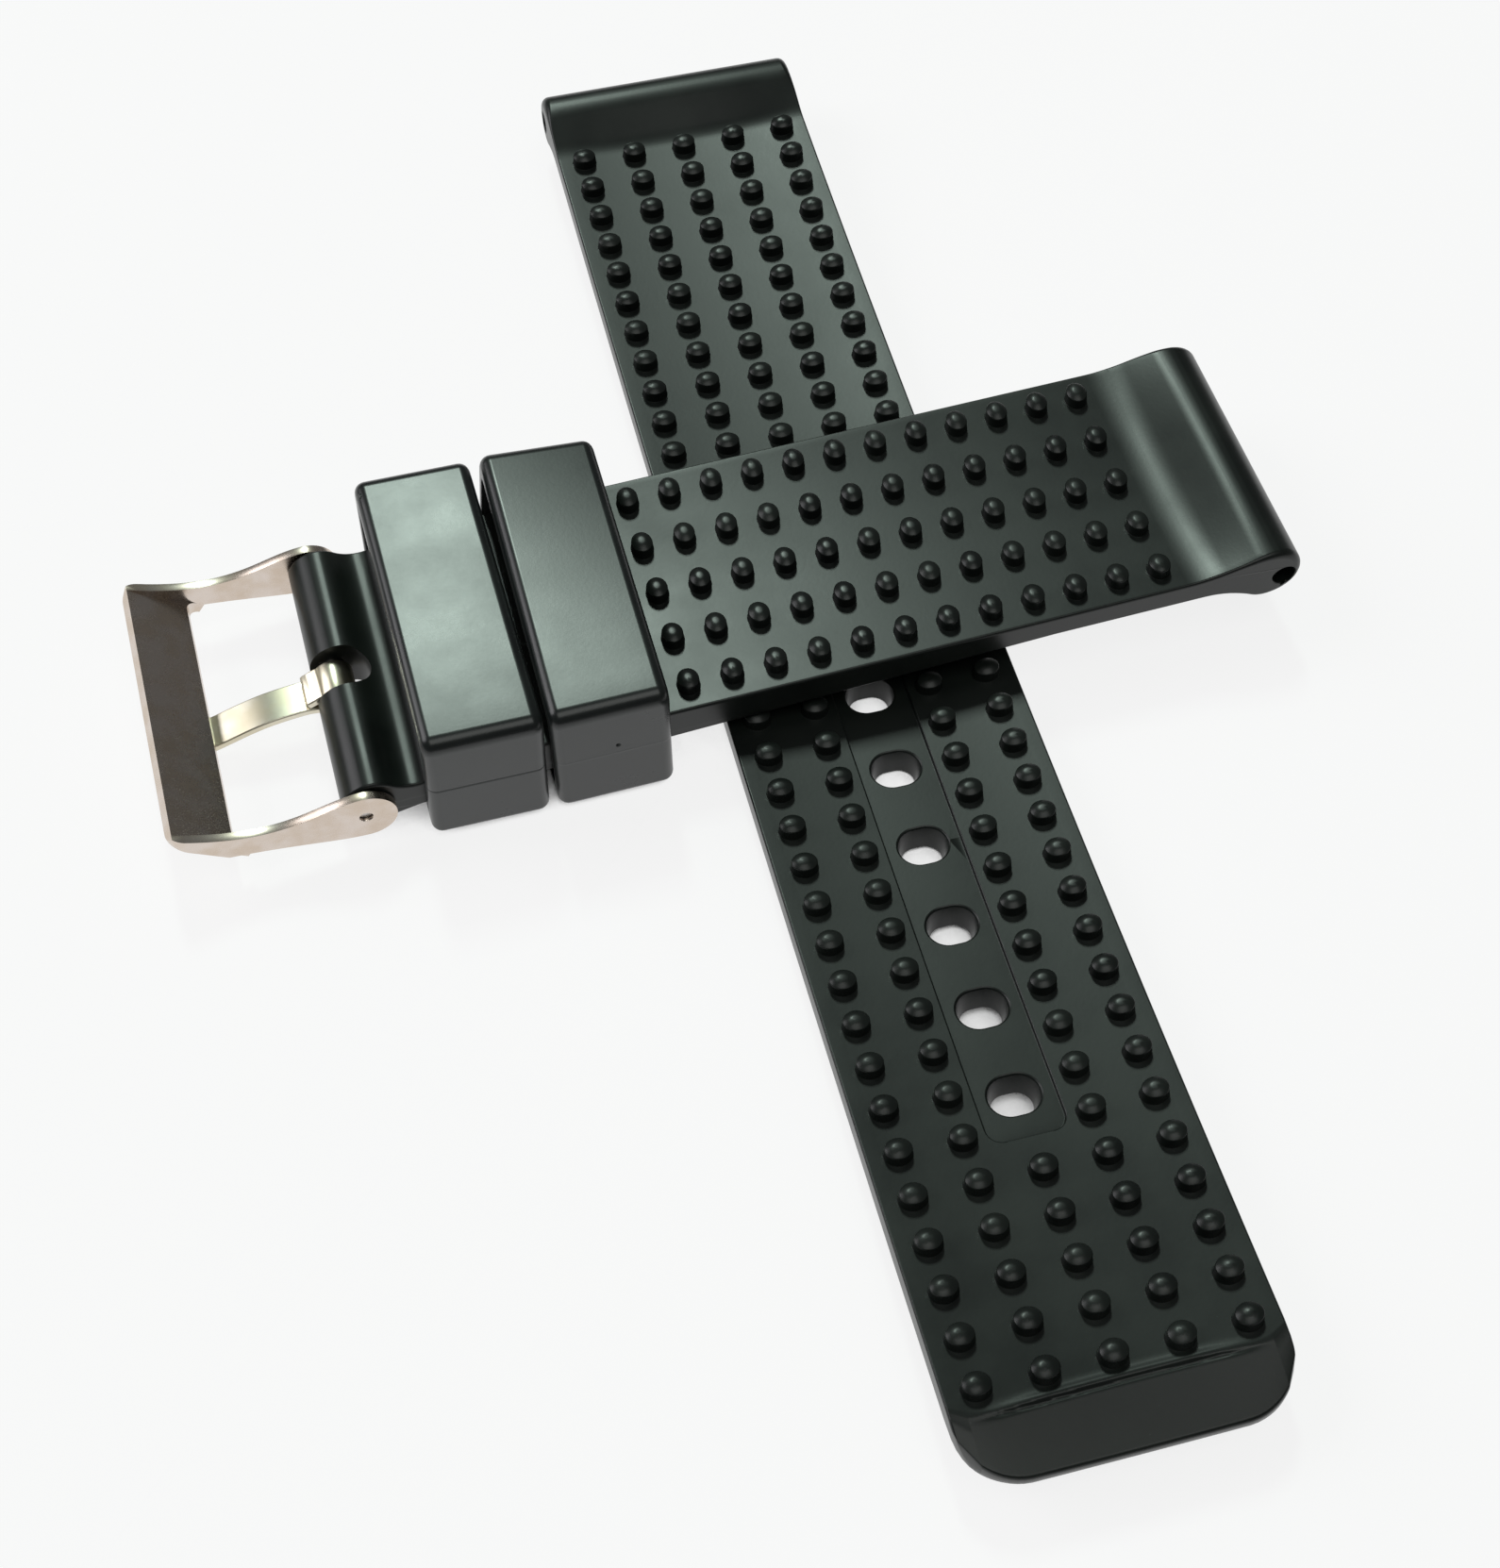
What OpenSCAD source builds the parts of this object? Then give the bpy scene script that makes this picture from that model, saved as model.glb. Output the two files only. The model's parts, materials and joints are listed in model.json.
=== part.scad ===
// Two-piece rubber watch strap, laid crossed with its studded inner faces up.
// Millimetres, +Z up, +Y along the hole half towards its lug end.
// The origin is at the bottom centre of the whole lay.

/* [Both halves] */
// Width of both halves, which is the lug width of the watch
strap_w = 20; // [18:0.5:24]
// Radius of the spring-bar bore in each end
bore_r = 0.8; // [0.7:0.05:1]
// Radius of the rolled lug end of each half
lug_r = 2.12; // [1.9:0.02:2.6]
// Depth of the lug roll's centre below the inner face
lug_sink = 1.05; // [0.8:0.05:1.3]
// How far the lug bore lies outward of the roll's centre
lug_bore_out = 0.65; // [0.3:0.05:0.7]
// How far the lug bore lies below the roll's centre
lug_bore_down = 0.3; // [0:0.05:0.4]
// Radius of the sweep under the lug roll
under_sweep_r = 6; // [2:0.5:6]

/* [Studs] */
// Radius of a stud
stud_r = 0.85; // [0.7:0.05:1.1]
// Height of a stud above the inner face
stud_h = 1; // [0.6:0.1:1.4]
// Height of the domed top of a stud
stud_dome = 0.3; // [0.2:0.05:0.5]
// Spacing of the studs along the strap
stud_step = 3; // [2.5:0.1:4]
// Spacing of the studs across the strap
stud_cross_step = 4; // [3:0.1:5]
// Least distance from a stud's centre to the strap's side
stud_margin = 2; // [1.5:0.1:2.5]

/* [Hole half] */
// Length of the hole half from its tip to its lug bore
hole_half_l = 113.6; // [100:0.2:130]
// Thickness of the hole half
hole_half_t = 2.4; // [2.2:0.1:3]
// Radius of the gentle arc that it lies in, at its underside
lay_arc_r = 658; // [500:2:1200]
// Distance from its lug bore to the lowest point of the arc
belly_from_bore = 57.3; // [50:0.1:64]
// Distance from the lug bore to the first row of studs
hole_studs_from_bore = 6.3; // [5.8:0.1:9]
// Bare length at the tip beyond the last row of studs
tip_bare = 5.1; // [5:0.1:8]
// Radius of the sweep above the lug roll
hole_sweep_r = 5; // [3:0.5:6]
// Radius of the corners of the tip, seen from above
tip_corner_r = 3.8; // [1:0.1:5]
// Length of the sloping face at the tip
tip_slope_l = 3.8; // [2:0.1:4.5]
// Fall of the sloping face at the tip
tip_slope_h = 0.9; // [0.4:0.1:1.4]
// Number of adjustment holes
hole_count = 7; // [5:1:9]
// Spacing of the adjustment holes
hole_step = 6.25; // [5:0.05:8]
// Distance from the tip to the hole nearest it
first_hole_from_tip = 22.6; // [20:0.1:30]
// Width of an adjustment hole across the strap
hole_w = 3.3; // [3:0.1:4]
// Length of an adjustment hole along the strap
hole_l = 2.7; // [2.4:0.1:3]
// Width of the sunk panel round the holes
panel_w = 5; // [4.6:0.1:5.6]
// Depth of the sunk panel
panel_sink = 0.3; // [0.1:0.05:0.5]
// Length of the panel beyond the centres of its end holes
panel_end = 3; // [2.2:0.1:4]
// Corner radius of the panel
panel_corner_r = 1; // [0.5:0.1:2]

/* [Buckle half] */
// Length of the buckle half from the buckle's bar to the lug bore
buckle_half_l = 64; // [56:0.5:76]
// Thickness of the buckle half beside its bar
buckle_half_t = 3.1; // [2.9:0.1:3.6]
// Thickness of the buckle half towards its lug
thin_t = 1.7; // [1.6:0.1:2.2]
// Distance from the bar to where the thin part starts
thin_from_bar = 47.4; // [40:0.2:50]
// Distance from the lug bore to the first row of studs
buckle_studs_from_bore = 8.6; // [8:0.1:10]
// Plain length beside the buckle, where the keepers sit
keeper_run = 22.4; // [20:0.1:26]
// Radius of the sweep above the lug roll
buckle_sweep_r = 10; // [6:0.5:12]
// Radius of the roll round the buckle's bar
bar_roll_r = 2.05; // [1.9:0.05:2.4]
// How far the bar lies outward of the roll's centre
bar_out = 0.65; // [0.3:0.05:0.7]
// Depth of the bar's axis below the inner face
bar_sink = 1.9; // [1.7:0.05:2]
// How far the bar lies below the roll's centre
bar_down = 0.2; // [0:0.05:0.3]
// Depth of the valley between the roll and the keepers
valley_sink = 0.8; // [0.5:0.05:1]
// Radius of the valley
valley_r = 2.5; // [2:0.1:3]
// Width of the tongue's slot in the roll
slot_w = 3.2; // [2.9:0.1:4]
// Depth of the tongue's slot beyond the bar's axis
slot_end = 2.6; // [2.3:0.1:3]

/* [Keepers] */
// Length of a keeper along the strap
keeper_l = 7.9; // [5:0.1:8]
// Height of a keeper over its walls
keeper_h = 9.9; // [9:0.1:11]
// Thickness of the top and bottom walls
keeper_wall = 1.4; // [1.2:0.1:1.6]
// Thickness of the side walls
keeper_side = 1.3; // [1:0.1:2]
// Play of the strap in a keeper on each side
keeper_play = 0.2; // [0.1:0.05:0.5]
// Outer corner radius of a keeper
keeper_corner_r = 1; // [0.5:0.1:1.8]
// Distance from the bar to the middle of the first keeper
keeper_from_bar = 8.1; // [7.6:0.1:9]
// Distance between the middles of the two keepers
keeper_spacing = 8.35; // [8.1:0.05:9]
// Gap under the strap in the first keeper
first_hang = 0.7; // [0.45:0.05:0.8]
// Gap under the strap in the second keeper
second_hang = 1.2; // [0.5:0.05:1.4]
// Lean of the first keeper along the strap, in degrees
first_lean = 2.7; // [0:0.1:3]
// Lean of the second keeper along the strap, in degrees
second_lean = 4; // [0:0.1:4.5]

/* [Buckle] */
// Thickness of the frame's arms
arm_t = 0.6; // [0.5:0.1:1.4]
// Play between the strap's end and each arm
arm_play = 0.15; // [0.1:0.05:0.4]
// Radius of the ears at the ends of the arms
ear_r = 2.05; // [1.8:0.05:2.3]
// Distance from the bar to the near edge of the cross bar
frame_reach = 8.9; // [8:0.1:11]
// Width of the cross bar
cross_w = 4.3; // [3:0.1:5]
// Thickness of the cross bar
cross_t = 0.8; // [0.7:0.1:1.2]
// Upward slope of the cross bar, in degrees
cross_slope = 36.5; // [20:0.5:40]
// Depth of the cross bar's near edge below the bar's axis
cross_drop = 0.1; // [0:0.1:0.6]
// Radius of the frame's outer corners
frame_corner_r = 1.2; // [0.6:0.1:2]
// Width of the tongue
tongue_w = 2.2; // [1.8:0.1:2.6]
// Thickness of the tongue
tongue_t = 0.55; // [0.4:0.05:0.8]
// Distance from the bar to the tongue's tip
tongue_l = 11.6; // [10.6:0.1:13]
// Depth of the tongue below the bar's axis where it leaves the bar
tongue_sink = 0.35; // [0.1:0.05:0.6]
// Distance from the bar to the tongue's knee
tongue_knee = 4.6; // [3:0.1:6]
// Slope of the tongue beyond its knee, in degrees
tongue_slope = 17; // [10:0.5:25]
// Gap between the tongue and the near edge of the cross bar
tongue_gap = 0.2; // [0.1:0.05:0.6]

/* [Spring bar] */
// Radius of the bar's tube
bar_r = 0.75; // [0.65:0.05:0.8]
// Wall of the bar's tube
tube_wall = 0.17; // [0.14:0.01:0.2]
// Radius of the bar's tips
tip_r = 0.37; // [0.3:0.01:0.4]
// Running clearance round the tube and the tips
run_gap = 0.05; // [0.03:0.01:0.09]
// Gap between each end of the tube and the frame's arm
tube_end_gap = 0.3; // [0.2:0.05:0.5]
// Length of a tip's head inside the tube
head_l = 1.5; // [1:0.1:2.5]
// Length of the turned-in lip at each end of the tube
lip_l = 0.4; // [0.3:0.05:0.6]
// How far a tip's end lies inside the arm's outer face
tip_inset = 0.25; // [0:0.05:0.5]
// Radius of the spring's wire
wire_r = 0.09; // [0.06:0.01:0.11]
// Number of turns in the spring
spring_turns = 20; // [12:1:24]

/* [Lay] */
// Distance from the hole half's lowest point to the crossing
cross_y = 7; // [2:0.1:12]
// Distance from the buckle's bar to the crossing
cross_from_bar = 34.9; // [33:0.1:38]
// Turn of the buckle half away from square, in degrees
lay_turn = 1.64; // [0:0.1:4]
// Rise of the buckle half towards its lug end, in degrees
lay_rise = 1.14; // [0.4:0.02:1.4]
// Roll of the buckle half about its length, in degrees
lay_roll = 0.65; // [0:0.05:0.8]
// Gap between the buckle half and the studs under it
lay_gap = 0.1; // [0.05:0.01:0.3]

/* [Hidden] */
rubber = [0.13, 0.15, 0.15];
keeper_rubber = [0.2, 0.23, 0.23];
steel = [0.78, 0.76, 0.73];
bright_steel = [0.87, 0.85, 0.8];
$fn = 40;
// Facets of a circle as large as the lay's arc, of a sweep and of a roll
arc_fn = 1440;
sweep_fn = 180;
roll_fn = 90;
// Depth by which joined shapes run into each other
sink_in = 0.2;
// Reach of a cut past the faces that it opens
past = 1;
// Depth by which a sweep or a sloping face runs into its roll, so that the two cross
bite = 0.01;

// Hole half: s is the length along the inner face from the lowest point
inner_r = lay_arc_r - hole_half_t;
lug_s = belly_from_bore - lug_bore_out;
tip_s = belly_from_bore - hole_half_l;
slope_s = tip_s + tip_slope_l;
first_row_s = belly_from_bore - hole_studs_from_bore;
hole_rows = floor((hole_half_l - hole_studs_from_bore - tip_bare) / stud_step + 0.1) + 1;
first_hole_s = tip_s + first_hole_from_tip;
panel_lo_s = first_hole_s - panel_end;
panel_hi_s = first_hole_s + (hole_count - 1) * hole_step + panel_end;
stud_cols = floor((strap_w - 2 * stud_margin) / stud_cross_step + 0.001) + 1;
stud_span = (stud_cols - 1) * stud_cross_step;

// Buckle half: u runs from the bar to the lug and w rises from the inner face
lug_u = buckle_half_l - lug_bore_out;
bar_roll = [bar_out, bar_down - bar_sink];
lug_roll = [lug_u, -lug_sink];
near_row_u = buckle_half_l - buckle_studs_from_bore;
buckle_rows = floor((near_row_u - keeper_run) / stud_step + 0.1) + 1;
valley_w = valley_r - valley_sink;
valley_u = bar_roll[0] + sqrt(pow(valley_r + bar_roll_r - bite, 2) - pow(valley_w - bar_roll[1], 2));
valley_end_u = valley_u + sqrt(pow(valley_r, 2) - pow(valley_w, 2));

// Buckle half's height over the studs of the hole half
roll_rise = strap_w / 2 * sin(lay_roll);
rest_u = cross_from_bar - stud_span / 2 - stud_r;
rest_z = lay_gap + max(stud_top_z(cross_y + strap_w / 2) - roll_rise,
                       stud_top_z(cross_y - strap_w / 2) + roll_rise);
lay_z = rest_z - under_w(rest_u) + (cross_from_bar - rest_u) * sin(lay_rise);

// Keepers
keeper_in_w = strap_w + 2 * keeper_play;
keeper_w = keeper_in_w + 2 * keeper_side;
keeper_in_h = keeper_h - 2 * keeper_wall;
second_keeper_u = keeper_from_bar + keeper_spacing;

// Buckle, in the plane across the bar with the bar's axis at its middle
arm_in = strap_w / 2 + arm_play;
arm_out = arm_in + arm_t;
cross_along = [-cos(cross_slope), sin(cross_slope)];
cross_down = [-sin(cross_slope), -cos(cross_slope)];
cross_near = [-frame_reach, -cross_drop];
cross_far = cross_near + cross_w * cross_along;
cross_far_low = cross_far + cross_t * cross_down;
cross_near_low = cross_near + cross_t * cross_down;
eye_r = bar_r + run_gap;
eye_out_r = eye_r + tongue_t;
tongue_turn_u = cross_near_low[0];
tongue_turn_w = cross_near_low[1] - tongue_gap - tongue_t;
tongue_turn = [tongue_turn_u, tongue_turn_w];

// Spring bar, in distances from its middle
tube_end = arm_in - tube_end_gap;
tube_in_r = bar_r - tube_wall;
head_r = tube_in_r - run_gap;
head_out = tube_end - lip_l - run_gap;
head_in = head_out - head_l;
tip_end = arm_out - tip_inset;
tip_hole_r = tip_r + run_gap;
coil_r = head_r - wire_r;
spring_end = head_in - wire_r - run_gap;
spring_step = 2 * spring_end / spring_turns;

// Middle of the lay's outline, which is the origin
lay_left = (cross_far_low[0] - cross_from_bar) * cos(lay_turn) - arm_out * sin(lay_turn);
lay_right = (lug_u + lug_r - cross_from_bar) * cos(lay_turn) + strap_w / 2 * sin(lay_turn);
lay_low = lay_arc_r * sin(turn_at(tip_s));
lay_high = (inner_r + lug_sink) * sin(turn_at(lug_s)) + lug_r;
middle = [(lay_left + lay_right) / 2, (lay_low + lay_high) / 2, 0];

// Turn on the arc, in degrees, of a place that lies s from the lowest point
function turn_at(s) = s / inner_r * 180 / PI;

// Place in the hole half's profile, from the arc's middle
function arc_at(r, turn) = r * [sin(turn), -cos(turn)];

// Turn between two middles, one at each radius from the arc's middle, that are reach apart
function turn_between(a, b, reach) = acos((a * a + b * b - reach * reach) / (2 * a * b));

// Height of the hole half's stud tops above the table
function stud_top_z(y) = lay_arc_r - sqrt(pow(inner_r - stud_h, 2) - y * y);

// Level of the buckle half's outer face
function under_w(u) = -thin_t
    - (buckle_half_t - thin_t) * max(0, thin_from_bar - u) / (thin_from_bar - valley_u);

// Points of a cubic curve from its four control points
function curve(a, b, c, d, steps = 12) = [for (i = [0 : steps])
    let (t = i / steps, s = 1 - t)
        a * s * s * s + 3 * b * s * s * t + 3 * c * s * t * t + d * t * t * t];

// Moves its children from the arc's frame to the whole part's
module centred() {
    translate(-middle)
        children();
}

// Stands its children on the hole half's inner face, s from the lowest point
module on_arc(s) {
    translate([0, 0, lay_arc_r])
        rotate([turn_at(s), 0, 0])
            translate([0, 0, -inner_r])
                children();
}

// Gives a flat shape in (y, z) a width along X
module along_x(width) {
    translate([-width / 2, 0, 0])
        rotate([90, 0, 90])
            linear_extrude(width)
                children();
}

// Gives a flat shape in (u, w) a width across the buckle half
module across(width) {
    translate([0, width / 2, 0])
        rotate([90, 0, 0])
            linear_extrude(width)
                children();
}

// Lays the buckle half over the hole half
module laid() {
    translate([0, cross_y, lay_z])
        rotate([lay_roll, -lay_rise, lay_turn])
            translate([-cross_from_bar, 0, 0])
                children();
}

// Moves its children to the middle of the buckle's bar
module at_bar() {
    laid()
        translate([0, 0, -bar_sink])
            children();
}

// Bar of radius r along Y, from one distance to another
module rod(r, from, to) {
    translate([0, from, 0])
        rotate([-90, 0, 0])
            cylinder(r = r, h = to - from);
}

module round_rect(x, y, r) {
    square([x - 2 * r, y], center = true);
    square([x, y - 2 * r], center = true);
    for (i = [-1, 1], j = [-1, 1])
        translate([i * (x / 2 - r), j * (y / 2 - r)])
            circle(r);
}

// Flat band of thickness t along straight runs, with round turns and ends
module band(points, t) {
    for (p = points)
        translate(p)
            circle(d = t);
    for (i = [1 : len(points) - 1]) {
        run = points[i] - points[i - 1];
        translate(points[i - 1])
            rotate(atan2(run[1], run[0]))
                translate([0, -t / 2])
                    square([norm(run), t]);
    }
}

module stud() {
    dome_r = (stud_r * stud_r + stud_dome * stud_dome) / (2 * stud_dome);
    rotate_extrude()
        intersection() {
            translate([0, -sink_in])
                square([stud_r, sink_in + stud_h]);
            translate([0, stud_h - dome_r])
                circle(dome_r, $fn = roll_fn);
        }
}

// Rubber between a flat face, a roll beside it and the sweep that joins them
module sweep_fill(roll, r, face, sweep_r, side) {
    level = face + side * sweep_r;
    apart = sweep_r + r - bite;
    sweep = [roll[0] - sqrt(pow(apart, 2) - pow(level - roll[1], 2)), level];
    touch = roll + (sweep - roll) * r / apart;
    difference() {
        polygon([[sweep[0], face], touch, roll, [sweep[0], roll[1]]]);
        translate(sweep)
            circle(sweep_r, $fn = sweep_fn);
    }
}

// The same between the arc at radius face_r and the roll of the hole half's lug end
module arc_sweep_fill(face_r, sweep_r, side) {
    roll_d = inner_r + lug_sink;
    sweep_d = face_r - side * sweep_r;
    apart = sweep_r + lug_r - bite;
    turn = turn_at(lug_s) - turn_between(roll_d, sweep_d, apart);
    roll = arc_at(roll_d, turn_at(lug_s));
    sweep = arc_at(sweep_d, turn);
    touch = roll + (sweep - roll) * lug_r / apart;
    difference() {
        polygon([arc_at(face_r, turn), touch, roll, arc_at(roll_d, turn)]);
        translate(sweep)
            circle(sweep_r, $fn = sweep_fn);
    }
}

// Hole half from the side, with the arc's middle at the origin, running on past its tip
module hole_profile() {
    low = turn_at(tip_s - past);
    high = turn_at(lug_s);
    difference() {
        intersection() {
            difference() {
                circle(lay_arc_r, $fn = arc_fn);
                circle(inner_r, $fn = arc_fn);
            }
            polygon([[0, 0], arc_at(2 * lay_arc_r, low), arc_at(2 * lay_arc_r, high)]);
        }
        polygon([arc_at(inner_r, turn_at(slope_s)), arc_at(inner_r - past, turn_at(slope_s)),
                 arc_at(inner_r - past, low), arc_at(inner_r + tip_slope_h, low),
                 arc_at(inner_r + tip_slope_h, turn_at(tip_s))]);
    }
    translate(arc_at(inner_r + lug_sink, high))
        circle(lug_r, $fn = roll_fn);
    arc_sweep_fill(inner_r, hole_sweep_r, 1);
    arc_sweep_fill(lay_arc_r, under_sweep_r, -1);
}

// Opening of the sunk panel, down to its floor
module panel() {
    low = inner_r * sin(turn_at(panel_lo_s));
    high = inner_r * sin(turn_at(panel_hi_s));
    intersection() {
        translate([0, (low + high) / 2, 0])
            linear_extrude(lay_arc_r)
                round_rect(panel_w, high - low, panel_corner_r);
        translate([0, 0, lay_arc_r])
            along_x(panel_w + 2 * past)
                circle(inner_r + panel_sink, $fn = arc_fn);
    }
}

// One adjustment hole, with round ends towards the strap's sides
module adjust_hole() {
    translate([0, 0, -hole_half_t - past])
        linear_extrude(hole_half_t + 2 * past) {
            square([hole_w - hole_l, hole_l], center = true);
            for (i = [-1, 1])
                translate([i * (hole_w - hole_l) / 2, 0])
                    circle(d = hole_l);
        }
}

module hole_studs() {
    for (row = [0 : hole_rows - 1], col = [0 : stud_cols - 1]) {
        s = first_row_s - row * stud_step;
        x = col * stud_cross_step - stud_span / 2;
        beside_panel = s < panel_lo_s - stud_r || s > panel_hi_s + stud_r;
        if (beside_panel || abs(x) > panel_w / 2 + stud_r)
            on_arc(s)
                translate([x, 0, 0])
                    stud();
    }
}

// Block as wide as the strap, with round corners at the tip, that gives the hole half its sides
module hole_outline() {
    block_l = hole_half_l + lug_r + tip_corner_r + past;
    on_arc(tip_s)
        translate([0, block_l / 2, -lay_arc_r])
            linear_extrude(2 * lay_arc_r)
                round_rect(strap_w, block_l, tip_corner_r);
}

module hole_strap() {
    color(rubber) centred() difference() {
        union() {
            intersection() {
                translate([0, 0, lay_arc_r])
                    along_x(strap_w + 2 * past)
                        hole_profile();
                hole_outline();
            }
            hole_studs();
        }
        panel();
        for (i = [0 : hole_count - 1])
            on_arc(first_hole_s + i * hole_step)
                adjust_hole();
        on_arc(belly_from_bore)
            translate([0, 0, -lug_sink - lug_bore_down])
                rotate([0, 90, 0])
                    cylinder(r = bore_r, h = strap_w + 2 * past, center = true);
    }
}

// Buckle half from the side
module buckle_profile() {
    corner = [valley_u, under_w(valley_u)];
    apart = corner - bar_roll;
    touch_r = bar_roll_r - bite;
    touch_turn = atan2(apart[1], apart[0]) - acos(touch_r / norm(apart));
    touch = bar_roll + touch_r * [cos(touch_turn), sin(touch_turn)];
    difference() {
        polygon([bar_roll, touch, corner, [thin_from_bar, -thin_t], [lug_u, -thin_t], [lug_u, 0],
                 [valley_end_u, 0], [valley_u, valley_w]]);
        translate([valley_u, valley_w])
            circle(valley_r, $fn = sweep_fn);
    }
    translate(bar_roll)
        circle(bar_roll_r, $fn = roll_fn);
    translate(lug_roll)
        circle(lug_r, $fn = roll_fn);
    sweep_fill(lug_roll, lug_r, 0, buckle_sweep_r, 1);
    sweep_fill(lug_roll, lug_r, -thin_t, under_sweep_r, -1);
}

// Slot for the tongue, from above, with a round end
module tongue_slot() {
    far = bar_roll_r + past;
    translate([-far, -slot_w / 2])
        square([far + slot_end - slot_w / 2, slot_w]);
    translate([slot_end - slot_w / 2, 0])
        circle(d = slot_w);
}

module buckle_strap() {
    half = strap_w / 2 + past;
    color(rubber) centred() laid() difference() {
        union() {
            across(strap_w)
                buckle_profile();
            for (row = [0 : buckle_rows - 1], col = [0 : stud_cols - 1])
                translate([near_row_u - row * stud_step, col * stud_cross_step - stud_span / 2, 0])
                    stud();
        }
        translate([0, 0, bar_roll[1] - bar_roll_r - past])
            linear_extrude(2 * (bar_roll_r + past))
                tongue_slot();
        translate([0, 0, -bar_sink])
            rod(bar_r + run_gap, -half, half);
        translate([buckle_half_l, 0, -lug_sink - lug_bore_down])
            rod(bore_r, -half, half);
    }
}

// Keeper whose middle is u from the bar, hanging below the strap and leaning
module keeper(u, hang, lean) {
    floor_w = under_w(u) - hang;
    color(keeper_rubber) centred() laid()
        translate([u, 0, floor_w - keeper_wall + keeper_h / 2])
            rotate([0, lean, 0])
                difference() {
                    intersection() {
                        along_x(keeper_l)
                            round_rect(keeper_w, keeper_h, keeper_corner_r);
                        across(keeper_w)
                            round_rect(keeper_l, keeper_h, keeper_corner_r);
                    }
                    along_x(keeper_l + 2 * past)
                        round_rect(keeper_in_w, keeper_in_h, keeper_corner_r / 2);
                }
}

module first_keeper() {
    keeper(keeper_from_bar, first_hang, first_lean);
}

module second_keeper() {
    keeper(second_keeper_u, second_hang, second_lean);
}

// One arm of the buckle's frame from the side
module arm_profile() {
    rim = ear_r - 2 * bite;
    waist = cross_near[0] / 2;
    circle(ear_r, $fn = roll_fn);
    polygon(concat([[0, 0]],
                   curve([0, rim], [0.7 * waist, rim], [1.25 * waist, -0.4 * ear_r], cross_far),
                   [cross_far_low],
                   curve(cross_near_low, [1.12 * waist, 1.5 * cross_near_low[1]],
                         [waist / 2, -rim], [0, -rim])));
}

module buckle_frame() {
    outline_l = ear_r + past + frame_corner_r - cross_far_low[0] + bite;
    color(bright_steel) centred() at_bar() difference() {
        intersection() {
            union() {
                for (i = [-1, 1])
                    translate([0, i * (arm_in + (arm_t + past) / 2), 0])
                        across(arm_t + past)
                            arm_profile();
                across(2 * arm_in + arm_t)
                    polygon([cross_near, cross_far, cross_far_low, cross_near_low]);
            }
            translate([cross_far_low[0] - bite + outline_l / 2, 0])
                linear_extrude(2 * frame_reach, center = true)
                    round_rect(outline_l, 2 * arm_out, frame_corner_r);
        }
        rod(tip_hole_r, -arm_out - past, arm_out + past);
    }
}

module buckle_tongue() {
    knee = [-tongue_knee, -tongue_sink];
    fall = tongue_turn - knee;
    tip_rise = (tongue_l + tongue_turn[0]) * tan(cross_slope - tongue_slope);
    tip = [tongue_t / 2 - tongue_l, tongue_turn[1] + tip_rise];
    color(steel) centred() at_bar()
        difference() {
            across(tongue_w) {
                circle(eye_out_r);
                band([[-eye_r, -tongue_sink], knee, tongue_turn, tip], tongue_t);
            }
            rod(eye_r, -tongue_w, tongue_w);
        }
}

module bar_tube() {
    bore_end = tube_end - lip_l;
    color(steel) centred() at_bar()
        difference() {
            rod(bar_r, -tube_end, tube_end);
            rod(tube_in_r, -bore_end, bore_end);
            rod(tip_hole_r, -tube_end - past, tube_end + past);
        }
}

// Tip whose head lies in the tube and whose end lies in the arm's hole
module bar_tip() {
    rod(head_r, head_in, head_out);
    rod(tip_r, head_out - sink_in, tip_end);
}

module bar_tip_near() {
    color(bright_steel) centred() at_bar()
        mirror([0, 1, 0])
            bar_tip();
}

module bar_tip_far() {
    color(bright_steel) centred() at_bar()
        bar_tip();
}

// Middle of the spring's wire after a number of turns
function coil_at(turns) = [coil_r * cos(360 * turns), turns * spring_step - spring_end,
                           coil_r * sin(360 * turns)];

// Ring of points round the wire there
function wire_ring(turns, sides) =
    let (out = [cos(360 * turns), 0, sin(360 * turns)],
         way = [-2 * PI * coil_r * sin(360 * turns), spring_step, 2 * PI * coil_r * cos(360 * turns)],
         side = cross(way, out) / norm(way))
    [for (j = [0 : sides - 1])
        coil_at(turns) + wire_r * (out * cos(360 * j / sides) + side * sin(360 * j / sides))];

module bar_spring() {
    rings = 8;
    sides = 6;
    last = spring_turns * rings;
    points = [for (i = [0 : last], p = wire_ring(i / rings, sides)) p];
    wall = [for (i = [0 : last - 1], j = [0 : sides - 1])
        let (a = i * sides + j, b = i * sides + (j + 1) % sides)
            each [[a, b, b + sides], [a, b + sides, a + sides]]];
    start = [for (j = [1 : sides - 2]) [0, j + 1, j]];
    end = [for (j = [1 : sides - 2]) let (a = last * sides) [a, a + j, a + j + 1]];
    color(steel) centred() at_bar()
        polyhedron(points, concat(wall, start, end));
}

hole_strap();
buckle_strap();
first_keeper();
second_keeper();
buckle_frame();
buckle_tongue();
bar_tube();
bar_spring();
bar_tip_near();
bar_tip_far();
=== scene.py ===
import json
import math

import bmesh
import bpy
from mathutils import Matrix, Vector


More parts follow.
